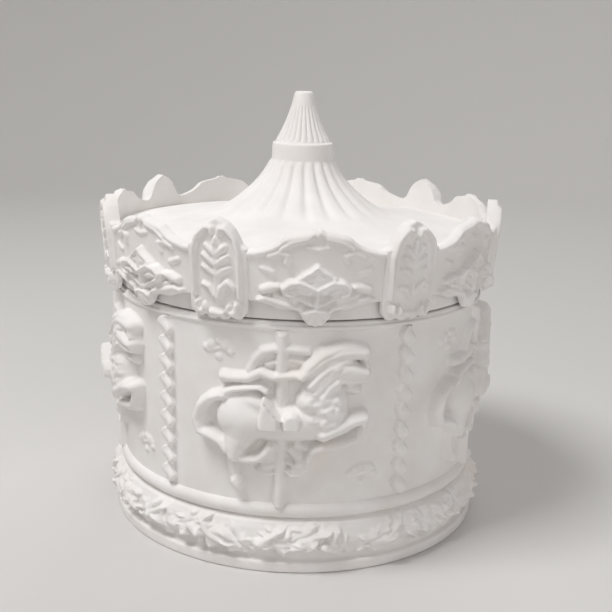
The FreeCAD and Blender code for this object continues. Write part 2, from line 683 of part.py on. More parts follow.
def sector(body, name, corners, angle, turn=ZERO):
    """Turn an outline of (radius, height) corners through an angle about the Z axis, half to each side of turn."""
    sketch = new_sketch(body, name + "_profile", "XZ_Plane")
    sketch.AttachmentOffset = Placement(Vector(), Rotation(Vector(0, 1, 0), turn.value))
    sketch.setExpression("AttachmentOffset.Rotation.Angle", turn.formula)
    draw_outline(sketch, corners)
    feature = body.newObject("PartDesign::Revolution", name)
    feature.Profile = sketch
    feature.ReferenceAxis = (sketch, ["V_Axis"])
    feature.Midplane = True
    feature.setExpression("Angle", angle.formula)
    return feature


def both_sides(outlines):
    """Outlines of one half of a panel with their mirror images."""
    return outlines + [[(-x, z) for x, z in reversed(outline)] for outline in outlines]


def crown_layer(label, outlines, step, turn):
    """Carving on the crown's leaning face, once for each panel, whose face stands out by step."""
    foot = s.drum_radius + s.crown_foot_step + step + s.crown_relief
    top = s.drum_radius + s.crown_step + step + s.crown_relief
    sunk = s.drum_radius + s.crown_step - s.crown_wall / 2
    ring = [
        (s.drum_radius + s.crown_foot_step / 2, lid_base),
        (foot, lid_base),
        (top, lid_base + s.valley_rise),
        (top, lid_base + s.narrow_rise),
        (sunk, lid_base + s.narrow_rise),
    ]
    return relief_layer(label, outlines, lid_base, ring, s.crown_panels, turn)


def lid_casting():
    body = new_body("lid_turning")
    crown_foot = s.drum_radius + s.crown_foot_step
    under_eaves = eaves_level - s.lid_wall / 2
    crown_top = lid_base + s.narrow_rise + s.crown_wall / 4
    valley = lid_base + s.valley_rise
    crest = lid_base + s.crest_rise
    apex = lid_base + s.narrow_rise
    revolve(body, "crown_ring", [
        (s.drum_radius, lid_base),
        (crown_foot, lid_base),
        (crown_outside, valley),
        (crown_outside, crown_top),
        (crown_inside, crown_top),
        (crown_inside, under_eaves),
        (s.drum_radius, under_eaves),
    ])
    half_step = 180 / s.crown_panels
    narrow_half = s.narrow_width / 2
    narrow_foot = lid_base + s.crown_wall * NARROW_FOOT
    root = crown_inside + s.crown_wall / 8
    narrow_face = sector(body, "narrow_face", [
        (root, narrow_foot),
        (crown_foot + s.narrow_step, narrow_foot),
        (crown_outside + s.narrow_step, valley),
        (crown_outside + s.narrow_step, crown_top),
        (root, crown_top),
    ], s.narrow_width / crown_outside * DEGREES_PER_RADIAN, half_step)
    polar(body, "narrow_faces", [narrow_face], s.crown_panels)
    wide_half = crown_outside * sine(half_step - narrow_half / crown_outside * DEGREES_PER_RADIAN)
    overlap = s.crown_wall / 8
    clear = crown_top + s.crown_wall
    edge = [(wide_half * share, valley + (crest - valley) * rise) for share, rise in WIDE_TOP_EDGE]
    corner = wide_half + overlap
    wide_top = cut_outwards(body, "wide_top", [
        (corner, valley),
        (corner, clear),
        (-corner, clear),
        (-corner, valley),
        *[(-x, z) for x, z in edge],
        (0, crest),
        *reversed(edge),
    ])
    polar(body, "wide_tops", [wide_top], s.crown_panels)
    shoulder = narrow_half * NARROW_SHOULDER
    arch_rise = apex - valley
    arch_radius = (arch_rise * arch_rise + shoulder * shoulder) / (2 * arch_rise)
    corner = narrow_half + overlap
    narrow_top = cut_outwards(body, "narrow_top", [
        (corner, valley),
        (corner, clear),
        (-corner, clear),
        (-corner, valley),
        (-shoulder, valley, -arch_radius),
        (0, apex, -arch_radius),
        (shoulder, valley),
    ], half_step)
    polar(body, "narrow_tops", [narrow_top], s.crown_panels)
    hem = lid_base + s.wide_hem_rise
    shell_half = s.shell_width / 2
    shell_top = lid_base + s.shell_drop
    shell_radius = (s.shell_drop * s.shell_drop + shell_half * shell_half) / (2 * s.shell_drop)
    below = lid_base - s.spigot_depth
    hem_turn = wide_half * HEM_TURN
    hem_level = shell_top + s.crown_wall / 4
    wide_hem = cut_outwards(body, "wide_hem", [
        (-wide_half, below),
        (wide_half, below),
        (wide_half, hem),
        (hem_turn, hem_level),
        (shell_half, shell_top, -shell_radius),
        (0, lid_base, -shell_radius),
        (-shell_half, shell_top),
        (-hem_turn, hem_level),
        (-wide_half, hem),
    ])
    polar(body, "wide_hems", [wide_hem], s.crown_panels)

    collar_inside = s.collar_radius - s.lid_wall
    weld = s.crown_wall / 6
    collar_lip = s.collar_radius - s.lid_wall / 9
    revolve(body, "lid_shell", [
        (spigot_outside - s.spigot_wall, lid_base - s.spigot_depth),
        (spigot_outside, lid_base - s.spigot_depth),
        (spigot_outside, lid_base),
        (s.drum_radius, lid_base),
        (s.drum_radius + weld, under_eaves),
        (crown_inside + weld, under_eaves),
        (crown_inside + weld, eaves_level),
        (s.knee_radius, knee_level, -s.tent_bend),
        (s.collar_radius, collar_level),
        (collar_lip, collar_top),
        (s.finial_radius, collar_top, -s.finial_bend),
        (s.finial_tip_radius, finial_top),
        (0, finial_top),
        (0, finial_top - s.finial_core),
        (collar_inside / 2, collar_top),
        (collar_inside, collar_level, s.tent_bend + s.lid_wall),
        (s.hub_radius - s.hub_land, hub_top),
        (s.hub_radius + s.spigot_clearance, hub_top),
        (drum_inside, eaves_level - s.lid_wall),
        (drum_inside, lid_base + s.lid_wall),
        (spigot_outside - s.spigot_wall, lid_base),
    ])
    rib = sector(body, "tent_rib", [
        (s.knee_radius, knee_level, -s.tent_bend * RIB_FACE_BEND),
        (s.collar_radius, collar_level, s.tent_bend * RIB_ROOT_BEND),
    ], 360 / s.tent_ribs * s.rib_share)
    polar(body, "tent_ribs_round", [rib], s.tent_ribs)
    place(body, rotation=Rotation(Vector(0, 0, 1), (s.crown_turn - 90).value))
    body.setExpression("Placement.Rotation.Angle", (s.crown_turn - 90).formula)
    casting = doc.addObject("Part::MultiFuse", "lid_casting")
    casting.Shapes = [
        body,
        crown_layer("wide_carving", WIDE_MIDDLE + both_sides(WIDE_SIDE), ZERO, s.crown_turn),
        crown_layer("narrow_carving", NARROW_MIDDLE + both_sides(NARROW_SIDE), s.narrow_step,
                    s.crown_turn + half_step),
    ]
    return node(casting, "lid_casting")


# Lid drive: hub disc, turntable with pins and nut, and the post that stands on the barrel

pin_spots = [(s.pin_circle, ZERO), (-s.pin_circle, ZERO)]
post_screw_circle = (s.post_radius + s.post_flange_radius) / 2
post_spots = [(post_screw_circle * cosine(turn), post_screw_circle * sine(turn)) for turn in (60, 180, 300)]
post_seat = cap_top + s.post_flange_thick


def drill(body, name, spots, level, radius, depth):
    """Holes of one size, straight down from a level."""
    sketch = new_sketch(body, name + "_spots", "XY_Plane", level)
    for x, y in spots:
        draw_circle(sketch, x, y, radius)
    pocket = body.newObject("PartDesign::Pocket", name)
    pocket.Profile = sketch
    pocket.setExpression("Length", depth.formula)
    return pocket


def lid_drive():
    hub = new_body("lid_hub")
    holes = [(x, y, s.pin_radius + s.pin_clearance) for x, y in pin_spots]
    rims = [(0, 0, s.hub_radius), (0, 0, s.hub_bore_radius)]
    pad(hub, "hub_disc", "XY_Plane", turntable_top, s.hub_thick, circles=rims + holes)
    node(hub, "lid_hub")

    disc = new_body("turntable")
    rims = [(0, 0, s.turntable_radius), (0, 0, s.post_thread_radius)]
    holes = [(x, y, s.pin_radius) for x, y in pin_spots]
    pad(disc, "turntable_disc", "XY_Plane", turntable_under, s.turntable_thick, circles=rims + holes)
    node(disc, "turntable")

    pin_top = hub_top - s.lid_gap
    pin_outline = box_corners(ZERO, s.pin_radius, turntable_under, pin_top)
    group("drive_pins", [turned(f"drive_pin_{i}", pin_outline, x, y) for i, (x, y) in enumerate(pin_spots)])

    nut = new_body("turntable_nut")
    corner = s.nut_width / (2 * math.cos(math.radians(30)))
    hexagon = [(corner * cosine(turn), corner * sine(turn)) for turn in range(0, 360, 60)]
    thread = [(0, 0, s.post_thread_radius)]
    pad(nut, "nut_flats", "XY_Plane", turntable_top, s.nut_height, hexagon, thread)
    node(nut, "turntable_nut")

    post_end = turntable_top + s.nut_height + s.lid_gap
    post = turned("drive_post", [
        (0, cap_top),
        (s.post_flange_radius, cap_top),
        (s.post_flange_radius, post_seat),
        (s.post_radius, post_seat),
        (s.post_radius, turntable_under),
        (s.post_thread_radius, turntable_under),
        (s.post_thread_radius, post_end),
        (0, post_end),
    ])
    drill(post, "post_holes", post_spots, post_seat, s.small_screw_radius, s.post_flange_thick)
    node(post, "drive_post")
    length = s.post_flange_thick + s.cap_thick + s.cap_lip / 2
    group("post_screws", [
        screw(f"post_screw_{i}", x, y, post_seat, s.small_screw_radius, length,
              s.small_head_radius, s.small_head_height)
        for i, (x, y) in enumerate(post_spots)
    ])


# Winding: key, arbor, bush and clutch spring

def helix_point(radius, pitch, base, turn):
    angle = 2.0 * math.pi * turn
    return Vector(radius * math.cos(angle), radius * math.sin(angle), base + pitch * turn)


def coil_spring(label, radius, wire_radius, pitch, turns, base):
    """An open coil of round wire, swept along quarter-turn arcs."""
    edges = []
    quarters = int(turns * 4)
    for step in range(quarters):
        points = [helix_point(radius, pitch, base, (step + part) / 4.0) for part in (0.0, 0.5, 1.0)]
        edges.append(Part.Arc(*points).toShape())
    path = Part.Wire(edges)
    section = Part.Wire(Part.makeCircle(wire_radius, path.Vertexes[0].Point, edges[0].tangentAt(0.0)))
    print(f"{label}: gap between turns {pitch - 2.0 * wire_radius:.2f} mm")
    spring = doc.addObject("Part::Feature", label)
    spring.Shape = path.makePipeShell([section], True, False)
    return node(spring, label)


def winding():
    neck_top = bed_top + s.barrel_ground / 2
    flange_under = bed_under - s.bush_flange_thick
    node(turned("arbor_bush", [
        (arbor_bore, bush_foot),
        (s.bush_radius, bush_foot),
        (s.bush_radius, flange_under),
        (s.bush_flange_radius, flange_under),
        (s.bush_flange_radius, bed_under),
        (s.bush_neck_radius, bed_under),
        (s.bush_neck_radius, neck_top),
        (arbor_bore, neck_top),
    ]), "arbor_bush")

    coil_radius = s.bush_radius + s.clutch_wire_radius + s.running_clearance
    room = s.bush_sleeve - 3 * s.clutch_wire_radius
    turns = math.floor(4.0 * room.value / s.clutch_pitch.value) / 4.0
    coil_spring("clutch_spring", coil_radius.value, s.clutch_wire_radius.value, s.clutch_pitch.value,
                turns, (bush_foot + s.clutch_wire_radius * CLUTCH_SEAT).value)

    hub_low = barrel_base + s.barrel_floor + s.strip_gap
    hub_high = barrel_top - s.cap_lip - s.strip_gap
    stem_end = s.key_ground + s.key_wing_radius
    node(turned("winding_arbor", [
        (0, stem_end),
        (s.arbor_radius, stem_end),
        (s.arbor_radius, hub_low),
        (s.arbor_hub_radius, hub_low),
        (s.arbor_hub_radius, hub_high),
        (0, hub_high),
    ]), "winding_arbor")

    key = new_body("winding_key")
    revolve(key, "key_sleeve", box_corners(s.arbor_radius, s.key_sleeve_radius, s.key_ground, key_top))
    wing_level = s.key_ground + s.key_wing_radius
    rims = [(s.key_wing_reach, wing_level, s.key_wing_radius), (s.key_wing_reach, wing_level, s.key_wing_hole)]
    wing = pad(key, "key_wing", "XZ_Plane", 0, s.key_thick, circles=rims, symmetric=True)
    polar(key, "key_wings", [wing], as_size(2))
    node(key, "winding_key")


# Spring barrel with its crown teeth, cap and mainspring

def tooth_outline(module, root, pitch, tip):
    """Half of a tooth's corners from root to tip, mirrored into the whole outline."""
    half_pitch = module * (math.pi * TOOTH_SHARE / 2)
    half_tip = module * (math.pi * TIP_SHARE / 2)
    sunk = root - module * ROOT_OVERLAP
    return [(sunk, -half_pitch), (pitch, -half_pitch), (tip, -half_tip),
            (tip, half_tip), (pitch, half_pitch), (sunk, half_pitch)]


def spring_barrel():
    barrel = new_body("spring_barrel")
    flange_under = flange_top - s.flange_thick
    revolve(barrel, "barrel_cup", [
        (arbor_bore, barrel_base),
        (s.barrel_radius, barrel_base),
        (s.barrel_radius, flange_under),
        (flange_radius, flange_under),
        (flange_radius, flange_top),
        (s.barrel_radius, flange_top),
        (s.barrel_radius, barrel_top),
        (barrel_inside, barrel_top),
        (barrel_inside, barrel_base + s.barrel_floor),
        (arbor_bore, barrel_base + s.barrel_floor),
    ])
    tip_level = crown_pitch_level + s.crown_module * ADDENDUM
    outline = tooth_outline(s.crown_module, flange_top, crown_pitch_level, tip_level)
    upright_outline = [(sideways, level) for level, sideways in outline]
    tooth_start = crown_pitch_radius - s.crown_face / 2
    tooth = pad(barrel, "crown_tooth", "YZ_Plane", tooth_start, s.crown_face, upright_outline)
    polar(barrel, "crown_gear", [tooth], s.crown_teeth)
    half_tooth = 180 / s.crown_teeth
    place(barrel, rotation=Rotation(Vector(0, 0, 1), half_tooth.value))
    barrel.setExpression("Placement.Rotation.Angle", half_tooth.formula)
    node(barrel, "spring_barrel")

    cap = turned("barrel_cap", [
        (0, barrel_top - s.cap_lip),
        (barrel_inside, barrel_top - s.cap_lip),
        (barrel_inside, barrel_top),
        (s.barrel_radius, barrel_top),
        (s.barrel_radius, cap_top),
        (0, cap_top),
    ])
    drill(cap, "cap_holes", post_spots, cap_top, s.small_screw_radius, s.cap_thick + s.cap_lip / 2)
    node(cap, "barrel_cap")


def half_turns(radius, step, count):
    """Semicircles about two centres, which make a spiral that widens by one step each half turn."""
    arcs = []
    for turn in range(count):
        centre = Vector(step * (turn % 2), 0, 0)
        reach = radius + step * turn
        side = 1 if turn % 2 == 0 else -1
        ends = (centre + Vector(side * reach, 0, 0), centre + Vector(-side * reach, 0, 0))
        arcs.append(Part.Arc(ends[0], centre + Vector(0, side * reach, 0), ends[1]).toShape())
    return arcs


def mainspring():
    """One flat strip coiled between the arbor and the barrel's wall."""
    count = int(2 * s.strip_turns.value)
    inner = (s.arbor_hub_radius + s.strip_gap).value
    outer = (barrel_inside - s.strip_gap).value
    step = (outer - inner - s.strip_thick.value) / count
    near = half_turns(inner, step, count)
    far = half_turns(inner + s.strip_thick.value, step, count)
    ends = [
        Part.makeLine(near[0].Vertexes[0].Point, far[0].Vertexes[0].Point),
        Part.makeLine(near[-1].Vertexes[-1].Point, far[-1].Vertexes[-1].Point),
    ]
    strip = Part.Face(Part.Wire(Part.__sortEdges__(near + far + ends)))
    low = (barrel_base + s.barrel_floor + s.strip_gap).value
    high = (barrel_top - s.cap_lip - s.strip_gap).value
    spring = doc.addObject("Part::Feature", "mainspring")
    spring.Shape = strip.extrude(Vector(0, 0, high - low))
    spring.Placement = Placement(Vector(0, 0, low), Rotation())
    return node(spring, "mainspring")


# Frame of the movement: bedplate, pads, screws, bearings, governor post and bracket

outer_face = outer_bearing_x + s.bearing_thick
post_x = wheel_x - s.bearing_thick * 3
bracket_y = worm_y + s.worm_radius + s.bearing_thick
bracket_face = bracket_y + s.bearing_thick
foot_depth = s.small_head_radius * 3
bearing_top = axis_level + s.shaft_radius * 4
arm_level = axis_level + s.fine_module * math.pi * (s.worm_turns / 2 + 1)

inner_foot_x = inner_bearing_x + s.bearing_thick
inner_spot = (inner_foot_x + foot_depth / 2, s.cylinder_radius + s.pin_height)
outer_spot = (outer_face + foot_depth / 2, governor_y / 2)
post_spot = (post_x + s.bearing_thick + foot_depth / 2, governor_y)
bracket_spot = (worm_x, bracket_face + foot_depth / 2)
bridge_spots = [inner_spot, outer_spot, post_spot, bracket_spot]
comb_spots = [(cylinder_x + s.cylinder_length * share, (comb_back + heel_y) / 2) for share in COMB_SCREW_SHARES]


def around(spot):
    half = foot_depth / 2
    return box_corners(spot[0] - half, spot[0] + half, spot[1] - half, spot[1] + half)


def foot(body, name, spot):
    hole = [(spot[0], spot[1], s.small_screw_radius)]
    pad(body, name, "XY_Plane", bed_top, s.bearing_thick, around(spot), hole)


def standing_plate(label, x, y_range, bores, spot):
    """An upright plate across the cylinder's axis, with shaft bores and a screwed foot."""
    body = new_body(label)
    outline = box_corners(y_range[0], y_range[1], bed_top, bearing_top)
    pad(body, label + "_plate", "YZ_Plane", x, s.bearing_thick, outline, bores)
    foot(body, label + "_foot", spot)
    return node(body, label)


def movement_frame():
    bed = new_body("bedplate")
    margin = s.small_head_radius
    left = -(s.barrel_radius + s.pad_radius + margin)
    right = outer_face + foot_depth + margin
    front = comb_back - margin
    back = bracket_face + foot_depth + margin
    cut = s.bed_corner
    holes = [(0, 0, s.bush_neck_radius), (worm_x, worm_y, s.fine_shaft_radius + s.running_clearance)]
    holes += [(x, y, s.screw_radius) for x, y in mount_spots]
    holes += [(x, y, s.small_screw_radius) for x, y in bridge_spots + comb_spots]
    pad(bed, "bed", "XY_Plane", bed_under, s.bed_thick, [
        (left + cut, front), (right - cut, front), (right, front + cut), (right, back - cut),
        (right - cut, back), (left + cut, back), (left, back - cut), (left, front + cut),
    ], holes)
    node(bed, "bedplate")

    ring = box_corners(s.screw_radius + s.screw_play, s.pad_radius, s.floor_level, bed_under)
    group("isolation_pads", [turned(f"pad_{i}", ring, x, y) for i, (x, y) in enumerate(mount_spots)])
    washer_under = floor_under - s.washer_thick
    ring = box_corners(s.screw_radius, s.washer_radius, washer_under, floor_under)
    group("mounting_washers", [turned(f"washer_{i}", ring, x, y) for i, (x, y) in enumerate(mount_spots)])
    length = bed_top - washer_under - s.bed_thick * (1 - THREAD_SHARE)
    group("mounting_screws", [
        screw(f"mounting_screw_{i}", x, y, washer_under, s.screw_radius, length,
              s.screw_head_radius, s.screw_head_height, UPSIDE_DOWN)
        for i, (x, y) in enumerate(mount_spots)
    ])

    shaft_bore = s.shaft_radius + s.running_clearance
    fine_bore = s.fine_shaft_radius + s.running_clearance
    side = s.shaft_radius * 4
    cylinder_bore = (0, axis_level, shaft_bore)
    governor_bore = (governor_y, axis_level, fine_bore)
    inner_range = (-side, inner_spot[1] + foot_depth / 2)
    standing_plate("inner_bearing", inner_bearing_x, inner_range, [cylinder_bore], inner_spot)
    outer_range = (-side, governor_y + s.fine_shaft_radius * 3)
    standing_plate("outer_bearing", outer_bearing_x, outer_range, [cylinder_bore, governor_bore], outer_spot)
    post_range = (governor_y - foot_depth / 2, governor_y + foot_depth / 2)
    standing_plate("governor_post", post_x, post_range, [governor_bore], post_spot)

    bracket = new_body("governor_bracket")
    half = foot_depth / 2
    plate = box_corners(worm_x - half, worm_x + half, bed_top, arm_level + s.bearing_thick)
    pad(bracket, "bracket_plate", "XZ_Plane", -bracket_face, s.bearing_thick, plate)
    arm = box_corners(worm_x - half, worm_x + half, worm_y - half, bracket_y)
    pad(bracket, "bracket_arm", "XY_Plane", arm_level, s.bearing_thick, arm, [(worm_x, worm_y, fine_bore)])
    foot(bracket, "bracket_foot", bracket_spot)
    node(bracket, "governor_bracket")

    seat = bed_top + s.bearing_thick
    length = s.bearing_thick + s.bed_thick * THREAD_SHARE
    group("bridge_screws", [
        screw(f"bridge_screw_{i}", x, y, seat, s.small_screw_radius, length,
              s.small_head_radius, s.small_head_height)
        for i, (x, y) in enumerate(bridge_spots)
    ])


# Cylinder with its tune pins, arbor, pinion and gear

def along_x(label, corners, x, y):
    """A turned piece whose axis lies along X at the cylinder's level."""
    return turned(label, corners, x, y, axis_level, ALONG_X)


def spur_gear(label, module, teeth, width, bore, x, y, phase=ZERO):
    body = new_body(label)
    pitch = module * teeth / 2
    root = pitch - module * DEDENDUM
    pad(body, label + "_disc", "XY_Plane", 0, width, circles=[(0, 0, root), (0, 0, bore)])
    outline = tooth_outline(module, root, pitch, pitch + module * ADDENDUM)
    tooth = pad(body, label + "_tooth", "XY_Plane", 0, width, outline)
    polar(body, label + "_teeth", [tooth], teeth)
    turn = Rotation(Vector(0, 0, 1), phase.value)
    place(body, x, y, axis_level, ALONG_X.multiply(turn))
    return node(body, label)


def pinned_cylinder():
    """A thin drum with one row of pins for each note, spread by the golden angle."""
    radius = s.cylinder_radius.value
    length = s.cylinder_length.value
    wall = s.cylinder_wall.value
    hollow = Part.makeCylinder(radius - wall, length - 2 * wall, Vector(0, 0, wall))
    bore = Part.makeCylinder(s.shaft_radius.value, length)
    drum = Part.makeCylinder(radius, length).cut([hollow, bore])
    pins = []
    pin_total = int(s.pins_per_note.value)
    for note in range(int(s.note_count.value)):
        level = note_pitch.value * (note + 0.5)
        for beat in range(pin_total):
            angle = math.radians(GOLDEN_ANGLE * note + 360.0 / pin_total * beat + BEAT_DRIFT * note * beat)
            out = Vector(math.cos(angle), math.sin(angle), 0)
            start = out * (radius - wall / 2) + Vector(0, 0, level)
            pins.append(Part.makeCylinder(s.pin_thick.value, s.pin_height.value + wall / 2, start, out))
    cylinder = doc.addObject("Part::Feature", "pinned_cylinder")
    cylinder.Shape = drum.fuse(pins)
    place(cylinder, cylinder_x, ZERO, axis_level, ALONG_X)
    return node(cylinder, "pinned_cylinder")


def cylinder_works():
    pinned_cylinder()
    pinion_width = s.crown_face - PINION_PLAY
    pinion_x = crown_pitch_radius - pinion_width / 2
    start = pinion_x - s.running_clearance * 4
    end = outer_face + s.side_play
    node(along_x("cylinder_arbor", box_corners(ZERO, s.shaft_radius, ZERO, end - start), start, ZERO),
         "cylinder_arbor")
    spur_gear("cylinder_pinion", s.crown_module, s.pinion_teeth, pinion_width, s.shaft_radius, pinion_x, ZERO)
    spur_gear("cylinder_gear", s.fine_module, s.gear_teeth, s.gear_width, s.shaft_radius, gear_x, ZERO)


# Comb: block, toothed plate, screws and tuning weights

def comb_works():
    block = new_body("comb_block")
    holes = [(x, y, s.small_screw_radius) for x, y in comb_spots]
    outline = box_corners(cylinder_x, cylinder_end, comb_back, heel_y - s.note_slot)
    pad(block, "block", "XY_Plane", bed_top, comb_under - bed_top, outline, holes)
    node(block, "comb_block")

    comb = new_body("comb")
    outline = box_corners(cylinder_x, cylinder_end, comb_back, tip_y)
    pad(comb, "comb_plate", "XY_Plane", comb_under, s.comb_thick, outline, holes)
    slot_sketch = new_sketch(comb, "slot_outline", "XY_Plane", comb_under + s.comb_thick)
    slot_x = cylinder_x + note_pitch - s.note_slot / 2
    draw_outline(slot_sketch, box_corners(slot_x, slot_x + s.note_slot, heel_y, tip_y + SLOT_RUNOUT))
    slot = comb.newObject("PartDesign::Pocket", "slot")
    slot.Profile = slot_sketch
    slot.setExpression("Length", s.comb_thick.formula)
    slots = comb.newObject("PartDesign::LinearPattern", "slots")
    slots.Originals = [slot]
    slots.Direction = (origin_feature(comb, "X_Axis"), [""])
    slots.setExpression("Length", (note_pitch * (s.note_count - 2)).formula)
    slots.setExpression("Occurrences", (s.note_count - 1).formula)
    comb.Tip = slots
    node(comb, "comb")

    seat = comb_under + s.comb_thick
    length = seat - bed_top + s.bed_thick * COMB_THREAD_SHARE
    group("comb_screws", [
        screw(f"comb_screw_{i}", x, y, seat, s.small_screw_radius, length,
              s.small_head_radius, s.small_head_height)
        for i, (x, y) in enumerate(comb_spots)
    ])

    weights = []
    for index in range(int(s.weight_count.value)):
        weight = doc.addObject("Part::Box", f"weight_{index}")
        weight.setExpression("Length", (note_pitch - s.note_slot * 2).formula)
        weight.setExpression("Width", s.weight_length.formula)
        weight.setExpression("Height", s.weight_height.formula)
        place(weight, cylinder_x + note_pitch * index + s.note_slot,
              tip_y - s.note_length * WEIGHT_SETBACK - s.weight_length, comb_under - s.weight_height)
        weights.append(weight)
    group("tuning_weights", weights)


# Governor: arbor, pinion, worm wheel, worm and air brake

def governor():
    start = post_x - s.side_play
    end = outer_face + s.side_play
    node(along_x("governor_arbor", box_corners(ZERO, s.fine_shaft_radius, ZERO, end - start), start, governor_y),
         "governor_arbor")
    spur_gear("governor_pinion", s.fine_module, s.governor_teeth, s.gear_width, s.fine_shaft_radius,
              gear_x, governor_y, 180 / s.governor_teeth)
    spur_gear("worm_wheel", s.fine_module, s.wheel_teeth, s.wheel_width, s.fine_shaft_radius,
              wheel_x, governor_y)

    pitch = s.fine_module * math.pi
    root = s.worm_radius - s.fine_module * DEDENDUM
    half_thread = pitch * (s.worm_turns / 2)
    core_half = half_thread + pitch / 2
    brake_level = arm_level + s.bearing_thick + s.side_play
    shaft_top = brake_level + s.brake_height
    worm = new_body("worm")
    revolve(worm, "worm_shaft", [
        (0, bed_under),
        (s.fine_shaft_radius, bed_under),
        (s.fine_shaft_radius, axis_level - core_half),
        (root, axis_level - core_half),
        (root, axis_level + core_half),
        (s.fine_shaft_radius, axis_level + core_half),
        (s.fine_shaft_radius, shaft_top),
        (0, shaft_top),
    ])
    thread_start = axis_level - half_thread
    tip = s.worm_radius + s.fine_module * ADDENDUM
    outline = tooth_outline(s.fine_module, root, s.worm_radius, tip)
    thread_sketch = new_sketch(worm, "thread_outline", "XZ_Plane")
    draw_outline(thread_sketch, [(reach, thread_start + level) for reach, level in outline])
    thread = worm.newObject("PartDesign::AdditiveHelix", "thread")
    thread.Profile = thread_sketch
    thread.ReferenceAxis = (thread_sketch, ["V_Axis"])
    thread.Mode = "pitch-turns-angle"
    thread.setExpression("Pitch", pitch.formula)
    thread.setExpression("Turns", s.worm_turns.formula)
    place(worm, worm_x, worm_y)
    node(worm, "worm")

    brake = new_body("air_brake")
    hub_radius = s.fine_shaft_radius * 2
    revolve(brake, "brake_hub", box_corners(s.fine_shaft_radius, hub_radius, brake_level, shaft_top))
    wing_outline = box_corners(s.fine_shaft_radius * WING_ROOT, s.brake_reach, brake_level, shaft_top)
    wing = pad(brake, "brake_wing", "XZ_Plane", 0, s.brake_thick, wing_outline, symmetric=True)
    polar(brake, "brake_wings", [wing], as_size(2))
    place(brake, worm_x, worm_y)
    node(brake, "air_brake")


drum_casting()
lid_casting()
lid_drive()
winding()
spring_barrel()
mainspring()
movement_frame()
cylinder_works()
comb_works()
governor()

# Every object is sound before anything is written
doc.recompute()
for item in doc.Objects:
    if "Invalid" in item.State or "Error" in item.State:
        raise RuntimeError(f"{item.Label} failed: {item.State}")
for item in NODES:
    if item.Shape.isNull() or not item.Shape.isValid():
        raise RuntimeError(f"{item.Label} has no sound shape")

os.makedirs("parts", exist_ok=True)
for item in NODES:
    item.Shape.exportStep(f"parts/{item.Label}.step")
    print(f"{item.Label}: {len(item.Shape.Solids)} solids, {item.Shape.Volume:.1f} mm3")
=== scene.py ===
# %% [markdown]
# # A carousel music box in white bisque
# The real box is two slip-cast pieces of clay, fired once and left unglazed. The drum carries five horses in
# relief, and the lid is a canopy with a scalloped crown. A wind-up movement inside turns the lid. The packed
# model gives every piece its place and size. This script dresses it: the two castings get their carving and
# their chalky surface, and the movement gets its metals.

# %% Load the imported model
import json
import math

import bmesh
import bpy
import numpy as np
from mathutils import Matrix, Vector


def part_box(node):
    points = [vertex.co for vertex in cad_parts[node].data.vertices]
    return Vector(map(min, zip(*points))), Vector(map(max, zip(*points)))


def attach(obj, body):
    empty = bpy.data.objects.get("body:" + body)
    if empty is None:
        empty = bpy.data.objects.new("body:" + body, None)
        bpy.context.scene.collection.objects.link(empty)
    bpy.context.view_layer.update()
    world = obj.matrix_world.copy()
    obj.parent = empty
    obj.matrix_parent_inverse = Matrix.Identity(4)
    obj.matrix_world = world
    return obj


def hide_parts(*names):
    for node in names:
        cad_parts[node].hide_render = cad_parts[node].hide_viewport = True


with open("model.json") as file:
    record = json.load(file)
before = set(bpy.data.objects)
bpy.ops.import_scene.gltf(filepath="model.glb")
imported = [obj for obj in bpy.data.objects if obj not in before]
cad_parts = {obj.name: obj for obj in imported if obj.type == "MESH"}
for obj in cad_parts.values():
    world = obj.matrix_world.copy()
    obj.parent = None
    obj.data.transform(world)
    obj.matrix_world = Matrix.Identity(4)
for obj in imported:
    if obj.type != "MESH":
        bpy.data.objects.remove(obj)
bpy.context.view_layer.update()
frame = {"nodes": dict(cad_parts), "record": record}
MM = 0.001
drum_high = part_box("drum_casting")[1]
lid_low, lid_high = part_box("lid_casting")

# %% [markdown]
# ## Camera
# The box was photographed from a little above, close up, with a lens of moderate length. A camera fitted to
# the rims and the foot gives the place, the tilt and the slight roll below. The whole view is turned about
# the box's axis, because the model puts one horse's pole exactly at the front and the photographed box stands
# turned.

# %% Camera
VIEW_TURN = math.radians(4.2)
CAMERA_BACK = 378.1
CAMERA_HEIGHT = 171.3
PITCH = math.radians(14.11)
YAW = math.radians(0.43)
ROLL = math.radians(1.54)
LENS = 58.7
SENSOR = 36.0

ahead = Vector((math.sin(YAW) * math.cos(PITCH), math.cos(YAW) * math.cos(PITCH), -math.sin(PITCH)))
level = Vector((math.cos(YAW), -math.sin(YAW), 0.0))
upward = level.cross(ahead)
right = math.cos(ROLL) * level + math.sin(ROLL) * upward
top = math.cos(ROLL) * upward - math.sin(ROLL) * level
axes = Matrix((right, top, -ahead)).transposed().to_4x4()
place = Matrix.Translation(Vector((0.0, -CAMERA_BACK, CAMERA_HEIGHT)) * MM)

camera_data = bpy.data.cameras.new("camera")
camera_data.lens = LENS
camera_data.sensor_width = SENSOR
camera_data.clip_start = 0.01
camera = bpy.data.objects.new("camera", camera_data)
camera.matrix_world = Matrix.Rotation(VIEW_TURN, 4, "Z") @ place @ axes
bpy.context.scene.collection.objects.link(camera)
bpy.context.scene.camera = camera
print("camera at", [round(value, 3) for value in camera.matrix_world.translation])

# %% [markdown]
# ## Finishes
# Colours are written as they look on a screen and turned to linear light by one function. Small functions add
# a node, a noise, a two-tone ramp and a bump. Every pattern's scale comes from a size in millimetres.

# %% Shader helpers
def linear(code):
    """An sRGB hex colour as linear RGBA."""
    parts = [int(code[start:start + 2], 16) / 255 for start in (1, 3, 5)]
    return [part / 12.92 if part <= 0.04045 else ((part + 0.055) / 1.055) ** 2.4 for part in parts] + [1.0]


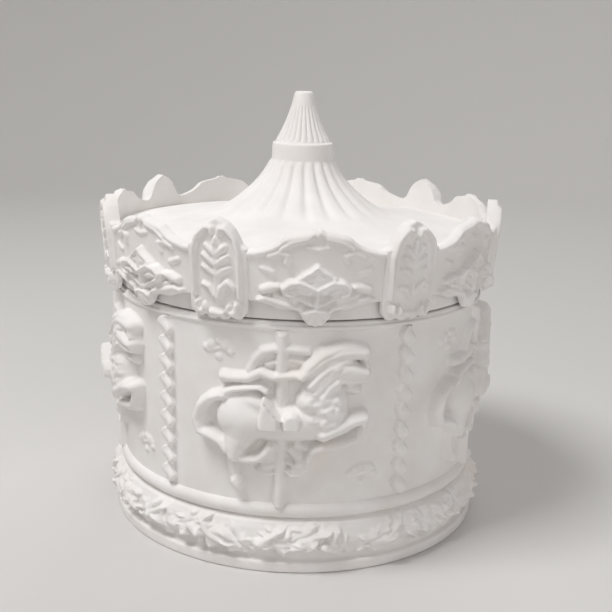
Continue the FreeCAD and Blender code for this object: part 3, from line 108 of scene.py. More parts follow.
def add(tree, kind, settings=None, values=None, links=None):
    """Add a node, set its properties and input values, and link sockets into it."""
    node = tree.nodes.new(kind)
    for name, value in (settings or {}).items():
        setattr(node, name, value)
    for name, value in (values or {}).items():
        node.inputs[name].default_value = value
    for name, socket in (links or {}).items():
        tree.links.new(socket, node.inputs[name])
    return node


def new_finish(name, values):
    """A material with these constant shader values. Returns it with its tree, shader and coordinates."""
    material = bpy.data.materials.new(name)
    material.use_nodes = True
    tree = material.node_tree
    shader = tree.nodes["Principled BSDF"]
    for socket, value in values.items():
        shader.inputs[socket].default_value = value
    coordinates = add(tree, "ShaderNodeTexCoord").outputs["Object"]
    return material, tree, shader, coordinates


def per_mm(size):
    """Texture scale for a pattern whose features are this many millimetres across."""
    return 1.0 / (size * MM)


def noise(tree, vector, size, values):
    """A noise pattern whose features are this many millimetres across."""
    values = {"Scale": per_mm(size), **values}
    return add(tree, "ShaderNodeTexNoise", values=values, links={"Vector": vector}).outputs["Fac"]


def pulled(tree, vector, factor):
    """Coordinates in which a pattern is drawn out along X by this factor."""
    scale = (1.0 / factor, 1.0, 1.0)
    return add(tree, "ShaderNodeMapping", values={"Scale": scale}, links={"Vector": vector}).outputs["Vector"]


def two_tone(tree, factor, low, dark, high, pale):
    """Colour that goes from dark, where the pattern is at low, to pale, where it is at high."""
    ramp = add(tree, "ShaderNodeValToRGB", links={"Fac": factor})
    for element, position, code in zip(ramp.color_ramp.elements, (low, high), (dark, pale)):
        element.position = position
        element.color = linear(code)
    return ramp.outputs["Color"]


def uneven(tree, height, strength, depth, links=None):
    """Surface normal bumped by a pattern, this many millimetres deep."""
    values = {"Strength": strength, "Distance": depth * MM}
    links = {"Height": height, **(links or {})}
    return add(tree, "ShaderNodeBump", values=values, links=links).outputs["Normal"]


# %% [markdown]
# ### Bisque
# Unglazed fired clay scatters light evenly, so it has almost no gloss. Up close it shows a fine grit, faint
# fettling marks where seams were scraped, and here and there a pale pink stain from handling and storage.

# %% Bisque
GRIT = 0.55
CLOUD = 16.0
STAIN = 46.0
FETTLING = 2.4


def bisque_clay():
    """Unglazed white bisque, slip cast: matt and chalky, with fine grit and faint pink stains."""
    gloss = {"Roughness": 0.86, "IOR": 1.48, "Specular IOR Level": 0.3}
    material, tree, shader, coordinates = new_finish("bisque_clay", gloss)
    cloud = noise(tree, coordinates, CLOUD, {"Detail": 4.0})
    tint = two_tone(tree, cloud, 0.3, "#E9E5E2", 0.7, "#F2F0EE")
    stain = noise(tree, coordinates, STAIN, {"Detail": 3.0, "Distortion": 0.6})
    spread = add(tree, "ShaderNodeMapRange",
                 values={"From Min": 0.62, "From Max": 0.8, "To Min": 0.0, "To Max": 0.3},
                 links={"Value": stain})
    colour = add(tree, "ShaderNodeMix", {"data_type": "RGBA"}, {"B": linear("#EBD5CC")},
                 {"Factor": spread.outputs["Result"], "A": tint})
    tree.links.new(colour.outputs["Result"], shader.inputs["Base Color"])
    fettling = noise(tree, coordinates, FETTLING, {"Detail": 2.0})
    scraped = uneven(tree, fettling, 0.35, 0.12)
    grit = noise(tree, coordinates, GRIT, {"Detail": 3.0, "Roughness": 0.6})
    tree.links.new(uneven(tree, grit, 0.4, 0.05, {"Normal": scraped}), shader.inputs["Normal"])
    return material


bisque = bisque_clay()
print("made", bisque.name)

# %% [markdown]
# ### Movement finishes
# Cheap movements use the same few materials: rolled brass with a satin grain, bright steel, a nickel-plated
# key, a moulded nylon wheel, sheet aluminium for the air brake, lead weights under the comb and black rubber
# pads. The disc under the roof is beech. Each metal's grain is a noise pulled out along one axis, which
# changes the roughness and gives a slight bump.

# %% Movement finishes
BEECH_GRAIN = 1.6
BEECH_PULL = 12.5


def grained_metal(name, colour, roughness, grain, pull):
    """A metal with a fine grain of this width in mm, pulled out along X by this factor."""
    material, tree, shader, coordinates = new_finish(name, {"Metallic": 1.0, "Base Color": linear(colour)})
    streaks = noise(tree, pulled(tree, coordinates, pull), grain, {"Detail": 3.0})
    polish = add(tree, "ShaderNodeMapRange", values={"To Min": roughness * 0.7, "To Max": roughness * 1.4},
                 links={"Value": streaks})
    tree.links.new(polish.outputs["Result"], shader.inputs["Roughness"])
    tree.links.new(uneven(tree, streaks, 0.15, 0.02), shader.inputs["Normal"])
    return material


def plain_solid(name, dark, pale, roughness, grain, ior):
    """A non-metal whose colour wavers between two shades, with a grain of this size in mm."""
    material, tree, shader, coordinates = new_finish(name, {"Roughness": roughness, "IOR": ior})
    mottle = noise(tree, coordinates, grain, {"Detail": 4.0})
    tree.links.new(two_tone(tree, mottle, 0.35, dark, 0.65, pale), shader.inputs["Base Color"])
    tree.links.new(uneven(tree, mottle, 0.2, 0.03), shader.inputs["Normal"])
    return material


def beech_board():
    """Sanded beech: long pale grain along X with darker flecks."""
    material, tree, shader, coordinates = new_finish("sanded_beech", {"Roughness": 0.6, "IOR": 1.5})
    lengthwise = pulled(tree, coordinates, BEECH_PULL)
    grain = noise(tree, lengthwise, BEECH_GRAIN, {"Detail": 5.0, "Distortion": 0.4})
    tree.links.new(two_tone(tree, grain, 0.3, "#A87C50", 0.7, "#D2AC7E"), shader.inputs["Base Color"])
    tree.links.new(uneven(tree, grain, 0.2, 0.05), shader.inputs["Normal"])
    return material


finishes = {
    "bisque": bisque,
    "beech": beech_board(),
    "brass": grained_metal("rolled_brass", "#C8A257", 0.32, 0.25, 12.0),
    "steel": grained_metal("bright_steel", "#B8B9BC", 0.3, 0.2, 10.0),
    "nickel": grained_metal("nickel_plate", "#CBC5B7", 0.18, 0.6, 2.0),
    "aluminium": grained_metal("aluminium_sheet", "#C9CBCE", 0.38, 0.2, 8.0),
    "lead": plain_solid("dull_lead", "#505358", "#666A70", 0.55, 0.4, 1.6),
    "nylon": plain_solid("moulded_nylon", "#DED9CB", "#EAE6DA", 0.45, 1.2, 1.53),
    "rubber": plain_solid("black_rubber", "#171718", "#242425", 0.85, 0.3, 1.52),
}
for subpart in frame["record"]["subparts"]:
    for material_slot in frame["nodes"][subpart["node"]].material_slots:
        material_slot.material = finishes[subpart["material_slot"]]

# %% [markdown]
# ## How carving is made
# A carved wall is a height map: a fine grid is wrapped round the axis and each point is pushed out by a few
# millimetres. The carving itself is drawn with strokes. A stroke follows a few points, each with its own half
# width, and its section is a dome. Strokes that meet are joined by taking the higher one, with a soft crease,
# as a modeller's tool would leave it. A back or a seam then closes the grid, so that each piece is solid.

# %% Stroke helpers
def stroke(u, z, path, height, flat=0.5):
    """Height map of one stroke. path holds (u, z, half width). A flat below 0.5 gives a level top."""
    field = np.zeros_like(u)
    for (u0, z0, r0), (u1, z1, r1) in zip(path, path[1:]):
        du, dz = u1 - u0, z1 - z0
        along = np.clip(((u - u0) * du + (z - z0) * dz) / (du * du + dz * dz), 0.0, 1.0)
        reach = r0 + (r1 - r0) * along
        gap = np.hypot(u - u0 - du * along, z - z0 - dz * along) / reach
        field = np.maximum(field, np.clip(1.0 - gap * gap, 0.0, 1.0) ** flat)
    return field * height


def bump(u, z, spot, height):
    """Height map of one round boss. spot holds (u, z, radius)."""
    gap = np.hypot(u - spot[0], z - spot[1]) / spot[2]
    return height * np.sqrt(np.clip(1.0 - gap * gap, 0.0, 1.0))


def join(first, second, softness=0.8):
    """The higher of two height maps, with a soft crease where both stand proud."""
    soft = softness * np.clip(np.minimum(first, second) / softness, 0.0, 1.0) + 1e-6
    share = np.clip(0.5 + 0.5 * (first - second) / soft, 0.0, 1.0)
    return second + (first - second) * share + soft * share * (1.0 - share) * 0.5


def worn(field, passes, wrap=False):
    """Soften a height map a little, as slip casting does."""
    for _ in range(passes):
        for axis in (0, 1):
            before = np.roll(field, 1, axis)
            after = np.roll(field, -1, axis)
            if not (wrap and axis == 1):
                edge = [slice(None), slice(None)]
                edge[axis] = 0
                before[tuple(edge)] = field[tuple(edge)]
                edge[axis] = -1
                after[tuple(edge)] = field[tuple(edge)]
            field = 0.25 * before + 0.5 * field + 0.25 * after
    return field


# %% Sheet and piece helpers
MERGE = 1e-7
SAME_SIDE = 1e-5
SAME_TURN = 1e-6


def sheet(columns, rows, surface):
    """A grid whose points go where surface(across, along) says, as (turn, radius, height) arrays."""
    bm = bmesh.new()
    bmesh.ops.create_grid(bm, x_segments=columns, y_segments=rows, size=0.5)
    flat = np.array([vert.co for vert in bm.verts])
    across, along = np.meshgrid(np.linspace(0.0, 1.0, columns + 1), np.linspace(0.0, 1.0, rows + 1))
    turn, radius, height = surface(across, along)
    points = np.stack([radius * np.sin(turn), -radius * np.cos(turn), height], axis=-1) * MM
    column = np.rint((flat[:, 0] + 0.5) * columns).astype(int)
    row = np.rint((flat[:, 1] + 0.5) * rows).astype(int)
    for vert, point in zip(bm.verts, points[row, column]):
        vert.co = point
    return bm


def back_rim(bm, radius):
    """Draw a sheet's free edges in to this radius. Returns the new points."""
    rim = [edge for edge in bm.edges if edge.is_boundary]
    made = bmesh.ops.extrude_edge_only(bm, edges=rim)["geom"]
    back = [item for item in made if isinstance(item, bmesh.types.BMVert)]
    for vert in back:
        reach = math.hypot(vert.co.x, vert.co.y)
        vert.co.x *= radius * MM / reach
        vert.co.y *= radius * MM / reach
    return back


def close_back(bm, radius):
    """Give a carved sheet square sides and a plain back at this radius, so that it is a closed tile."""
    back = back_rim(bm, radius)
    turns = {vert: math.atan2(vert.co.x, -vert.co.y) for vert in back}
    ends = (min(turns.values()), max(turns.values()))
    sides = [[vert for vert in back if abs(turns[vert] - end) < SAME_SIDE] for end in ends]
    inner = []
    for side in sides:
        side.sort(key=lambda vert: vert.co.z)
        inner.extend(side[1:-1])
    bmesh.ops.dissolve_verts(bm, verts=inner)
    loose = [edge for edge in bm.edges if edge.is_boundary]
    across = [edge for edge in loose if abs(turns[edge.verts[0]] - turns[edge.verts[1]]) > SAME_TURN]
    bmesh.ops.bridge_loops(bm, edges=across)
    bmesh.ops.recalc_face_normals(bm, faces=bm.faces)


def close_ring(bm, radius):
    """Join a full turn's seam and give the ring a plain back at this radius."""
    bmesh.ops.remove_doubles(bm, verts=bm.verts, dist=MERGE)
    back_rim(bm, radius)
    bmesh.ops.bridge_loops(bm, edges=[edge for edge in bm.edges if edge.is_boundary])
    bmesh.ops.recalc_face_normals(bm, faces=bm.faces)


def lathe(corners, steps, closed=True):
    """Spin an outline of (radius, height) corners in mm about the axis."""
    bm = bmesh.new()
    verts = [bm.verts.new((radius * MM, 0.0, height * MM)) for radius, height in corners]
    first = 0 if closed else 1
    edges = [bm.edges.new((verts[index - 1], verts[index])) for index in range(first, len(verts))]
    bmesh.ops.spin(bm, geom=verts + edges, axis=(0, 0, 1), cent=(0, 0, 0), steps=steps,
                   angle=2.0 * math.pi, use_merge=True)
    bmesh.ops.remove_doubles(bm, verts=bm.verts, dist=MERGE)
    bmesh.ops.recalc_face_normals(bm, faces=bm.faces)
    return bm


def rounded(corners, radius, points=5):
    """An outline with each corner softened. A corner given as (r, z, 0) stays sharp."""
    soft = []
    for index, corner in enumerate(corners):
        here = np.array(corner[:2], float)
        if len(corner) == 3:
            soft.append(tuple(here))
            continue
        before = np.array(corners[index - 1][:2], float)
        after = np.array(corners[(index + 1) % len(corners)][:2], float)
        reach = min(radius, 0.45 * np.hypot(*(before - here)), 0.45 * np.hypot(*(after - here)))
        first = here + (before - here) / np.hypot(*(before - here)) * reach
        last = here + (after - here) / np.hypot(*(after - here)) * reach
        for share in np.linspace(0.0, 1.0, points):
            curve = (1 - share) ** 2 * first + 2 * share * (1 - share) * here + share ** 2 * last
            soft.append(tuple(curve))
    return soft


def piece(name, bm, body, node, crease=40.0, turn=0.0):
    """Make the object, turned about the axis, and hand it to the body that it rides on."""
    mesh = bpy.data.meshes.new(name)
    bm.to_mesh(mesh)
    mesh.transform(Matrix.Rotation(turn, 4, "Z"))
    mesh.shade_smooth()
    mesh.set_sharp_from_angle(angle=math.radians(crease))
    mesh.materials.append(bisque)
    obj = bpy.data.objects.new(name, mesh)
    bpy.context.scene.collection.objects.link(obj)
    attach(obj, body)
    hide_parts(node)
    return obj


# %% [markdown]
# ## Drum
# The plain part of the drum is a thrown shape: foot ring, plinth, a round moulding, a wall that draws in a
# little towards its foot, a small bead at the rim, and a smooth inside with a floor. A spun outline makes it
# in one go, with every arris softened as a sponge leaves it. The bays and the garland lie over it.

# %% Drum shell
DRUM_RADIUS = 68.7
WALL_DRAFT = 1.5
DRUM_INSIDE = 64.0
DRUM_HEIGHT = drum_high.z / MM
FLOOR = 24.0
FLOOR_UNDER = 19.0
RECESS = 62.9
STEM_HOLE = 8.0
PLINTH_REACH = 70.8
PLINTH_HEIGHT = 3.9
MOULDING = 21.6
MOULDING_RADIUS = 2.8
MOULDING_MIDDLE = 66.2
RIM_BEAD = 0.8
BEAD_DROP = 1.9
BEAD_ARC = np.radians(np.linspace(-75.0, 80.0, 17))
WALL_SUNK = 0.4
WALL_LOW = 25.0
WALL_HIGH = DRUM_HEIGHT - 3.4
WALL_RUN = (26.0, 82.0)
LEDGE_IN = 2.2
LEDGE_RISE = 0.3
BAND_LOW = 8.0
BAND_LOW_RADIUS = PLINTH_REACH - 2.6
BAND_HIGH = 18.2
BAND_HIGH_RADIUS = DRUM_RADIUS - 1.0
DRUM_SOFT = 0.9
DRUM_STEPS = 256


def wall_at(z):
    """Radius of the drum's wall, which draws in a little towards the moulding."""
    return DRUM_RADIUS - WALL_DRAFT * (DRUM_HEIGHT - z) / (DRUM_HEIGHT - MOULDING)


def beading(middle, level, radius):
    """Outline points of a round moulding, from its underside to its top."""
    return [(middle + radius * math.cos(turn), level + radius * math.sin(turn), 0) for turn in BEAD_ARC]


def drum_outline():
    """Corners of the drum's section, from the hole in its floor round the outside and back."""
    return [
        (STEM_HOLE, FLOOR_UNDER), (RECESS, FLOOR_UNDER), (RECESS, 0.0), (PLINTH_REACH, 0.0),
        (PLINTH_REACH, PLINTH_HEIGHT), (PLINTH_REACH - LEDGE_IN, PLINTH_HEIGHT + LEDGE_RISE),
        (BAND_LOW_RADIUS, BAND_LOW), (BAND_HIGH_RADIUS, BAND_HIGH),
        *beading(MOULDING_MIDDLE, MOULDING, MOULDING_RADIUS),
        (wall_at(WALL_RUN[0]) - WALL_SUNK, WALL_LOW), (wall_at(WALL_RUN[1]) - WALL_SUNK, WALL_HIGH),
        *beading(DRUM_RADIUS, DRUM_HEIGHT - BEAD_DROP, RIM_BEAD),
        (DRUM_RADIUS, DRUM_HEIGHT), (DRUM_INSIDE, DRUM_HEIGHT), (DRUM_INSIDE, FLOOR), (STEM_HOLE, FLOOR),
    ]


drum_bm = lathe(rounded(drum_outline(), DRUM_SOFT), DRUM_STEPS)
drum_shell = piece("drum_shell", drum_bm, "case", "drum_casting")
print("drum_shell:", len(drum_shell.data.polygons), "faces")

# %% [markdown]
# ## Horses
# Five like bays go round the drum. In each a horse leaps to the right on its pole, with a flying mane and
# streamers, a curled tail, a saddle with two flaps, a draped breast and a cloth hanging under the belly. Two
# small sprigs fill the corners. The points are millimetres along the wall from the pole, and above the table.

# %% Horse strokes
HORSE_FORMS = [
    ([(-15.4, 59.4, 4.4), (-10.0, 60.4, 4.0), (-5.0, 59.6, 3.6)], 4.6),
    ([(-13.4, 54.5, 8.0), (-4.0, 53.9, 6.6), (6.0, 53.7, 6.4), (14.3, 55.3, 7.4)], 5.2),
    ([(-13.8, 54.9, 8.0), (-12.2, 53.7, 8.0)], 6.8),
    ([(15.2, 56.5, 7.4), (15.4, 61.1, 6.8)], 6.0),
    ([(9.2, 61.4, 4.6), (12.4, 64.6, 6.2), (15.0, 70.1, 6.0), (18.2, 75.1, 5.2)], 5.4),
    ([(-13.3, 49.3, 6.4), (-15.0, 44.5, 4.4), (-15.0, 41.5, 2.9)], 5.8),
]
HORSE_LEGS = [
    ([(-15.0, 41.3, 2.6), (-11.5, 40.3, 2.1), (-7.0, 40.9, 1.8), (-4.6, 42.9, 2.0), (-2.6, 45.5, 2.2)], 4.6),
    ([(13.8, 50.7, 3.1), (18.4, 52.7, 3.2), (22.6, 54.9, 2.9), (26.8, 55.9, 2.4)], 6.6),
    ([(27.3, 55.0, 1.9), (27.1, 52.1, 1.7), (25.9, 49.5, 2.1)], 4.8),
    ([(26.0, 48.5, 1.9), (20.8, 46.7, 2.1), (14.6, 45.7, 2.0), (10.2, 44.3, 1.8), (9.0, 41.3, 1.7)], 4.4),
    ([(5.4, 46.3, 1.4), (10.0, 44.5, 1.5)], 2.6),
    ([(-17.4, 42.3, 1.5), (-17.0, 37.9, 1.4), (-15.9, 34.3, 1.7)], 2.2),
    ([(-15.0, 31.9, 2.2), (-14.4, 30.7, 2.5)], 3.6),
]
HORSE_HEAD = [
    ([(17.4, 73.4, 4.0), (22.0, 72.6, 3.3), (26.6, 71.5, 2.5)], 6.2),
    ([(19.0, 69.8, 2.2), (23.6, 69.0, 1.9), (26.6, 69.2, 1.5)], 5.2),
    ([(21.6, 66.2, 1.6), (24.6, 65.4, 2.0)], 3.8),
    ([(26.2, 76.4, 1.2), (27.2, 73.8, 1.0)], 5.4),
]
HORSE_MANE = [
    ([(26.2, 77.9, 2.6), (22.6, 78.5, 3.0), (18.8, 78.6, 3.2), (13.9, 77.4, 3.4), (10.0, 74.0, 2.8),
      (6.6, 70.4, 1.8)], 5.6),
    ([(21.0, 76.4, 1.7), (16.4, 75.2, 2.4), (12.4, 71.4, 2.6), (9.4, 67.6, 2.0)], 5.8),
    ([(17.4, 73.0, 1.6), (13.8, 69.4, 2.2), (10.8, 65.2, 1.8)], 6.0),
    ([(18.0, 69.6, 1.4), (15.4, 67.2, 1.9), (13.0, 63.6, 1.6)], 6.1),
]
HORSE_TAIL = [
    ([(-18.0, 62.5, 1.7), (-23.0, 60.7, 2.1), (-26.8, 57.3, 2.3), (-28.4, 52.3, 2.5), (-27.4, 48.5, 2.3),
      (-23.2, 47.4, 2.1), (-19.6, 45.7, 2.0), (-17.6, 42.9, 1.6)], 5.0),
    ([(-4.6, 64.7, 1.2), (-6.8, 66.1, 1.2), (-10.6, 65.7, 1.3), (-15.4, 64.7, 1.4), (-18.8, 63.1, 1.6)], 4.6),
]
HORSE_STREAMERS = [
    ([(5.4, 70.4, 1.8), (1.3, 70.2, 1.6), (-2.6, 69.6, 1.7), (-6.6, 71.0, 1.8), (-10.6, 68.8, 1.9),
      (-15.6, 68.3, 1.9), (-19.3, 68.4, 2.0)], 3.6),
    ([(8.4, 78.6, 1.7), (2.7, 79.0, 1.5), (-2.8, 78.9, 1.6), (-6.2, 78.0, 1.6), (-8.6, 75.2, 1.7),
      (-10.2, 71.4, 1.6)], 2.4),
    ([(7.6, 74.6, 1.4), (3.0, 75.6, 1.1), (-1.6, 74.6, 1.0), (-4.8, 73.6, 1.0)], 1.6),
]
HORSE_CLOTH = [
    ([(3.4, 44.4, 1.6), (7.4, 41.4, 2.6), (7.2, 38.4, 2.8), (5.2, 37.2, 2.4)], 2.2),
    ([(9.2, 41.6, 0.9), (8.8, 38.0, 0.9), (7.6, 36.0, 0.9), (3.6, 35.2, 0.8), (2.4, 36.6, 0.7)], 3.1),
    ([(2.2, 40.0, 0.8), (5.2, 38.6, 0.8), (8.4, 39.2, 0.8)], 2.8),
    ([(-1.6, 42.0, 1.8), (-3.4, 39.0, 2.6), (-4.6, 37.8, 2.2)], 2.0),
    ([(-1.4, 39.0, 0.8), (-4.0, 38.4, 0.8), (-6.2, 38.2, 0.8)], 2.7),
    ([(-7.6, 36.9, 0.8), (-5.2, 35.6, 0.8), (-2.6, 35.6, 0.8)], 2.7),
]
SADDLE_FLAPS = [
    ([(-6.7, 52.0), (-6.2, 57.5), (-5.2, 62.6), (-3.8, 61.6), (0.3, 56.2), (0.3, 52.0)], 8.0),
    ([(0.8, 52.2), (0.6, 56.2), (1.6, 58.3), (3.6, 59.2), (5.6, 58.4), (6.9, 56.4), (7.0, 54.0),
      (6.2, 52.3)], 7.8),
]
SADDLE_TRIM = [([(-5.0, 62.8, 0.7), (-2.4, 59.6, 0.6), (0.4, 56.0, 0.6)], 8.6)]
BREAST_FOLDS = [
    (9.3, 62.0, 2.1), (12.4, 60.2, 2.3), (15.8, 58.8, 2.4), (18.8, 59.6, 2.0), (13.6, 63.6, 1.9),
    (10.4, 56.4, 2.0), (14.0, 54.6, 2.1), (17.6, 54.6, 1.9), (18.0, 63.2, 1.8),
]
HAIR_LINES = [
    [(25.0, 79.8), (18.4, 79.6), (12.8, 76.8), (8.6, 72.6)],
    [(24.6, 76.6), (18.4, 76.4), (13.4, 73.6), (9.4, 69.6)],
    [(19.0, 73.6), (14.8, 70.6), (11.2, 66.0)],
    [(-19.6, 61.6), (-24.4, 58.8), (-26.8, 53.4), (-25.6, 48.8)],
    [(-9.6, 50.0), (-11.6, 46.6), (-12.6, 43.4)],
    [(23.6, 70.7), (27.6, 70.5)],
]
SPRIG = [
    (-2.5, 0.6, 1.7), (2.4, 0.9, 2.0), (4.4, -1.2, 1.3), (0.2, -3.2, 1.3), (-4.4, -0.4, 1.3), (0.0, 1.9, 1.1),
]
SPRIG_SPOTS = [(-21.8, 77.6), (28.6, 35.4)]
SPRIG_STEM = [(-4.0, -1.6, 0.6), (0.2, -0.4, 0.6), (4.6, 0.6, 0.5)]
SPRIG_HEIGHT = 0.9
STEM_HEIGHT = 0.6
POLE_WIDTH = 2.0
POLE_RELIEF = 2.7
POLE_TOP = DRUM_HEIGHT - 2.9
FOLD_HEIGHT = 0.8
CREASE_DEPTH = 0.5
HAIR_WIDTH = 0.6
HAIR_DEPTH = 0.4
PLATE_EDGE = 0.8
FLESH_SOFT = 2.0
MANE_SOFT = 1.2
MANE_FLAT = 0.4
LIMB_SOFT = 0.5
TAIL_SOFT = 0.4
CLOTH_SOFT = 0.3
SPRIG_SOFT = 0.2
horse_lists = (HORSE_FORMS, HORSE_LEGS, HORSE_HEAD, HORSE_MANE, HORSE_TAIL, HORSE_STREAMERS, HORSE_CLOTH)
print("horse strokes:", sum(len(strokes) for strokes in horse_lists))


# %% Horse height map
def drawn(u, z, forms, field=None, softness=0.8, flat=0.5):
    """Join a list of (path, height) strokes into a height map."""
    field = np.zeros_like(u) if field is None else field
    for path, height in forms:
        field = join(field, stroke(u, z, path, height, flat), softness)
    return field


def scored(u, z, line, width, depth):
    """Depth of a scored line with no taper."""
    return stroke(u, z, [(a, b, width) for a, b in line], depth)


def plate(u, z, corners, height):
    """Height map of a flat plate with a crisp edge. Its corners go round clockwise."""
    inside = np.full_like(u, PLATE_EDGE)
    for (u0, z0), (u1, z1) in zip(corners, corners[1:] + corners[:1]):
        inward = ((z1 - z0) * (u - u0) - (u1 - u0) * (z - z0)) / math.hypot(u1 - u0, z1 - z0)
        inside = np.minimum(inside, inward)
    return height * np.clip(inside / PLATE_EDGE, 0.0, 1.0) ** 0.4


def horse_relief(u, z):
    """Height map of one bay: the low pole, cloth and streamers, the horse over them, then the sprigs."""
    pole = POLE_RELIEF * np.sqrt(np.clip(1.0 - (u / POLE_WIDTH) ** 2, 0.0, 1.0))
    pole *= np.clip((POLE_TOP - z) / 0.8, 0.0, 1.0)
    low = drawn(u, z, HORSE_CLOTH, softness=CLOTH_SOFT)
    low = drawn(u, z, HORSE_STREAMERS, low, CLOTH_SOFT)
    low = np.maximum(low, pole)
    body = drawn(u, z, HORSE_FORMS, softness=FLESH_SOFT)
    for across, level, radius in BREAST_FOLDS:
        crease = (across + 0.9, level + 0.6, radius * 0.5)
        body = body + bump(u, z, (across, level, radius), FOLD_HEIGHT) - bump(u, z, crease, CREASE_DEPTH)
    body = drawn(u, z, HORSE_HEAD, body, LIMB_SOFT)
    body = drawn(u, z, HORSE_MANE, body, MANE_SOFT, MANE_FLAT)
    body = drawn(u, z, HORSE_LEGS, body, LIMB_SOFT)
    body = drawn(u, z, HORSE_TAIL, body, TAIL_SOFT)
    for corners, height in SADDLE_FLAPS:
        body = np.maximum(body, plate(u, z, corners, height))
    body = drawn(u, z, SADDLE_TRIM, body, CLOTH_SOFT)
    for line in HAIR_LINES:
        body = body - np.minimum(body, scored(u, z, line, HAIR_WIDTH, HAIR_DEPTH))
    field = np.maximum(low, body)
    for across, level in SPRIG_SPOTS:
        for a, b, radius in SPRIG:
            field = join(field, bump(u, z, (across + a, level + b, radius), SPRIG_HEIGHT), SPRIG_SOFT)
        stem = [(across + a, level + b, half) for a, b, half in SPRIG_STEM]
        field = join(field, stroke(u, z, stem, STEM_HEIGHT), SPRIG_SOFT)
    return field


# %% Drum bays
HORSES = 5
BAY = 2.0 * math.pi / HORSES
BAY_LOW = 23.6
BAY_HIGH = DRUM_HEIGHT - 2.6
BAY_GRID = (244, 174)
TILE_BACK = DRUM_RADIUS - 3.0
TILE_CREASE = 60.0


def bay_surface(across, along):
    """One bay of the wall with its horse, for the sheet helper."""
    turn = (across - 0.5) * BAY
    z = BAY_LOW + (BAY_HIGH - BAY_LOW) * along
    relief = worn(horse_relief(turn * DRUM_RADIUS, z), 1)
    return turn, wall_at(z) + relief, z


bay = sheet(*BAY_GRID, bay_surface)
close_back(bay, TILE_BACK)
for index in range(HORSES):
    panel = piece(f"horse_panel_{index + 1}", bay, "case", "drum_casting", TILE_CREASE, BAY * index)
print("horse panels:", HORSES, "of", len(panel.data.polygons), "faces")

# %% [markdown]
# ## Ribbon columns
# Between the bays a ribbon hangs from rim to moulding, twisted over on itself again and again. It swells and
# narrows once in each half turn, and its face tips to the left and to the right by turns.

# %% Ribbon columns
RIBBON_WIDTH = 2.9
RIBBON_MARGIN = 0.6
RIBBON_RELIEF = 2.4
RIBBON_TWISTS = 9.0
RIBBON_SWAY = 0.5
RIBBON_TIP = 0.6
RIBBON_NECK = 0.52
RIBBON_EDGE = 0.7
RIBBON_SUNK = 0.3
RIBBON_LOW = 25.0
RIBBON_HIGH = DRUM_HEIGHT - 2.8
RIBBON_GRID = (26, 216)


def ribbon_surface(across, along):
    """One ribbon on its strip of wall, for the sheet helper."""
    u = (across - 0.5) * 2.0 * (RIBBON_WIDTH + RIBBON_MARGIN)
    z = RIBBON_LOW + (RIBBON_HIGH - RIBBON_LOW) * along
    twist = math.pi * RIBBON_TWISTS * along
    facing = np.abs(np.sin(twist))
    wide = RIBBON_WIDTH * (RIBBON_NECK + (1.0 - RIBBON_NECK) * facing)
    side = np.clip((u - RIBBON_SWAY * np.sin(2.0 * twist)) / wide, -1.0, 1.0)
    tip = 1.0 + RIBBON_TIP * side * np.cos(twist) * np.sign(np.sin(twist + 0.01))
    high = RIBBON_EDGE + (1.0 - RIBBON_EDGE) * facing
    relief = worn(RIBBON_RELIEF * np.sqrt(1.0 - side ** 6) * tip * high, 1)
    return BAY / 2 + u / DRUM_RADIUS, wall_at(z) - RIBBON_SUNK + relief, z


ribbon = sheet(*RIBBON_GRID, ribbon_surface)
close_back(ribbon, TILE_BACK)
for index in range(HORSES):
    column = piece(f"ribbon_column_{index + 1}", ribbon, "case", "drum_casting", TILE_CREASE, BAY * index)
print("ribbon columns:", HORSES, "of", len(column.data.polygons), "faces")

# %% [markdown]
# ## Garland
# A garland of broad ruffled leaves, bound with a ribbon and dotted with buds and berries, goes round above
# the plinth. Its band swells like a roll, and where leaves cross, the higher one shows, so that its lifted
# edge throws a shadow. Sines of a leaf's number stand in for chance, so that the leaves differ and every run
# is the same. It is one ring: a long grid, carved by a loop of leaves and closed at its seam.

# %% Garland
GARLAND_LOW = 5.6
GARLAND_HIGH = 18.6
GARLAND_SECTION = [
    (5.6, 68.0), (7.4, 68.6), (9.0, 69.8), (11.0, 70.5),
    (13.0, 70.4), (15.5, 69.8), (17.4, 68.9), (18.6, 67.4),
]
GARLAND_BACK = DRUM_RADIUS - 2.4
GARLAND_CREASE = 70.0
GARLAND_GRID = (1180, 52)
LEAVES = 40
LEAF_LONG = 9.4
LEAF_WIDE = 5.4
LEAF_LEVEL = 11.8
LEAF_WANDER = 1.8
LEAF_LEAN = -12.0
LEAF_SWING = 48.0
LEAF_LIFT = 1.5
LEAF_TIP = 1.7
RUFFLE = 1.0
VEIN = 0.2
MIDRIB = 0.6
BUD_OFFSET = 2.6
BUD_LEVEL = 9.2
BUD_RADIUS = 2.0
BUD_HEIGHT = 3.0
BERRY_OFFSET = 3.4
BERRY_LEVEL = 8.6
BERRY_RADIUS = 1.3
BERRY_HEIGHT = 2.6
BINDING_OFFSET = 6.0
BINDING_WIDTH = 1.7
BINDING_HEIGHT = 2.6
BINDING_LEVEL = 12.6
BINDING_REACH = 4.6
CIRCUMFERENCE = 2.0 * math.pi * (DRUM_RADIUS + 2.0)


def wrapped(distance):
    """A distance round the ring, taken the short way."""
    return (distance + CIRCUMFERENCE / 2) % CIRCUMFERENCE - CIRCUMFERENCE / 2


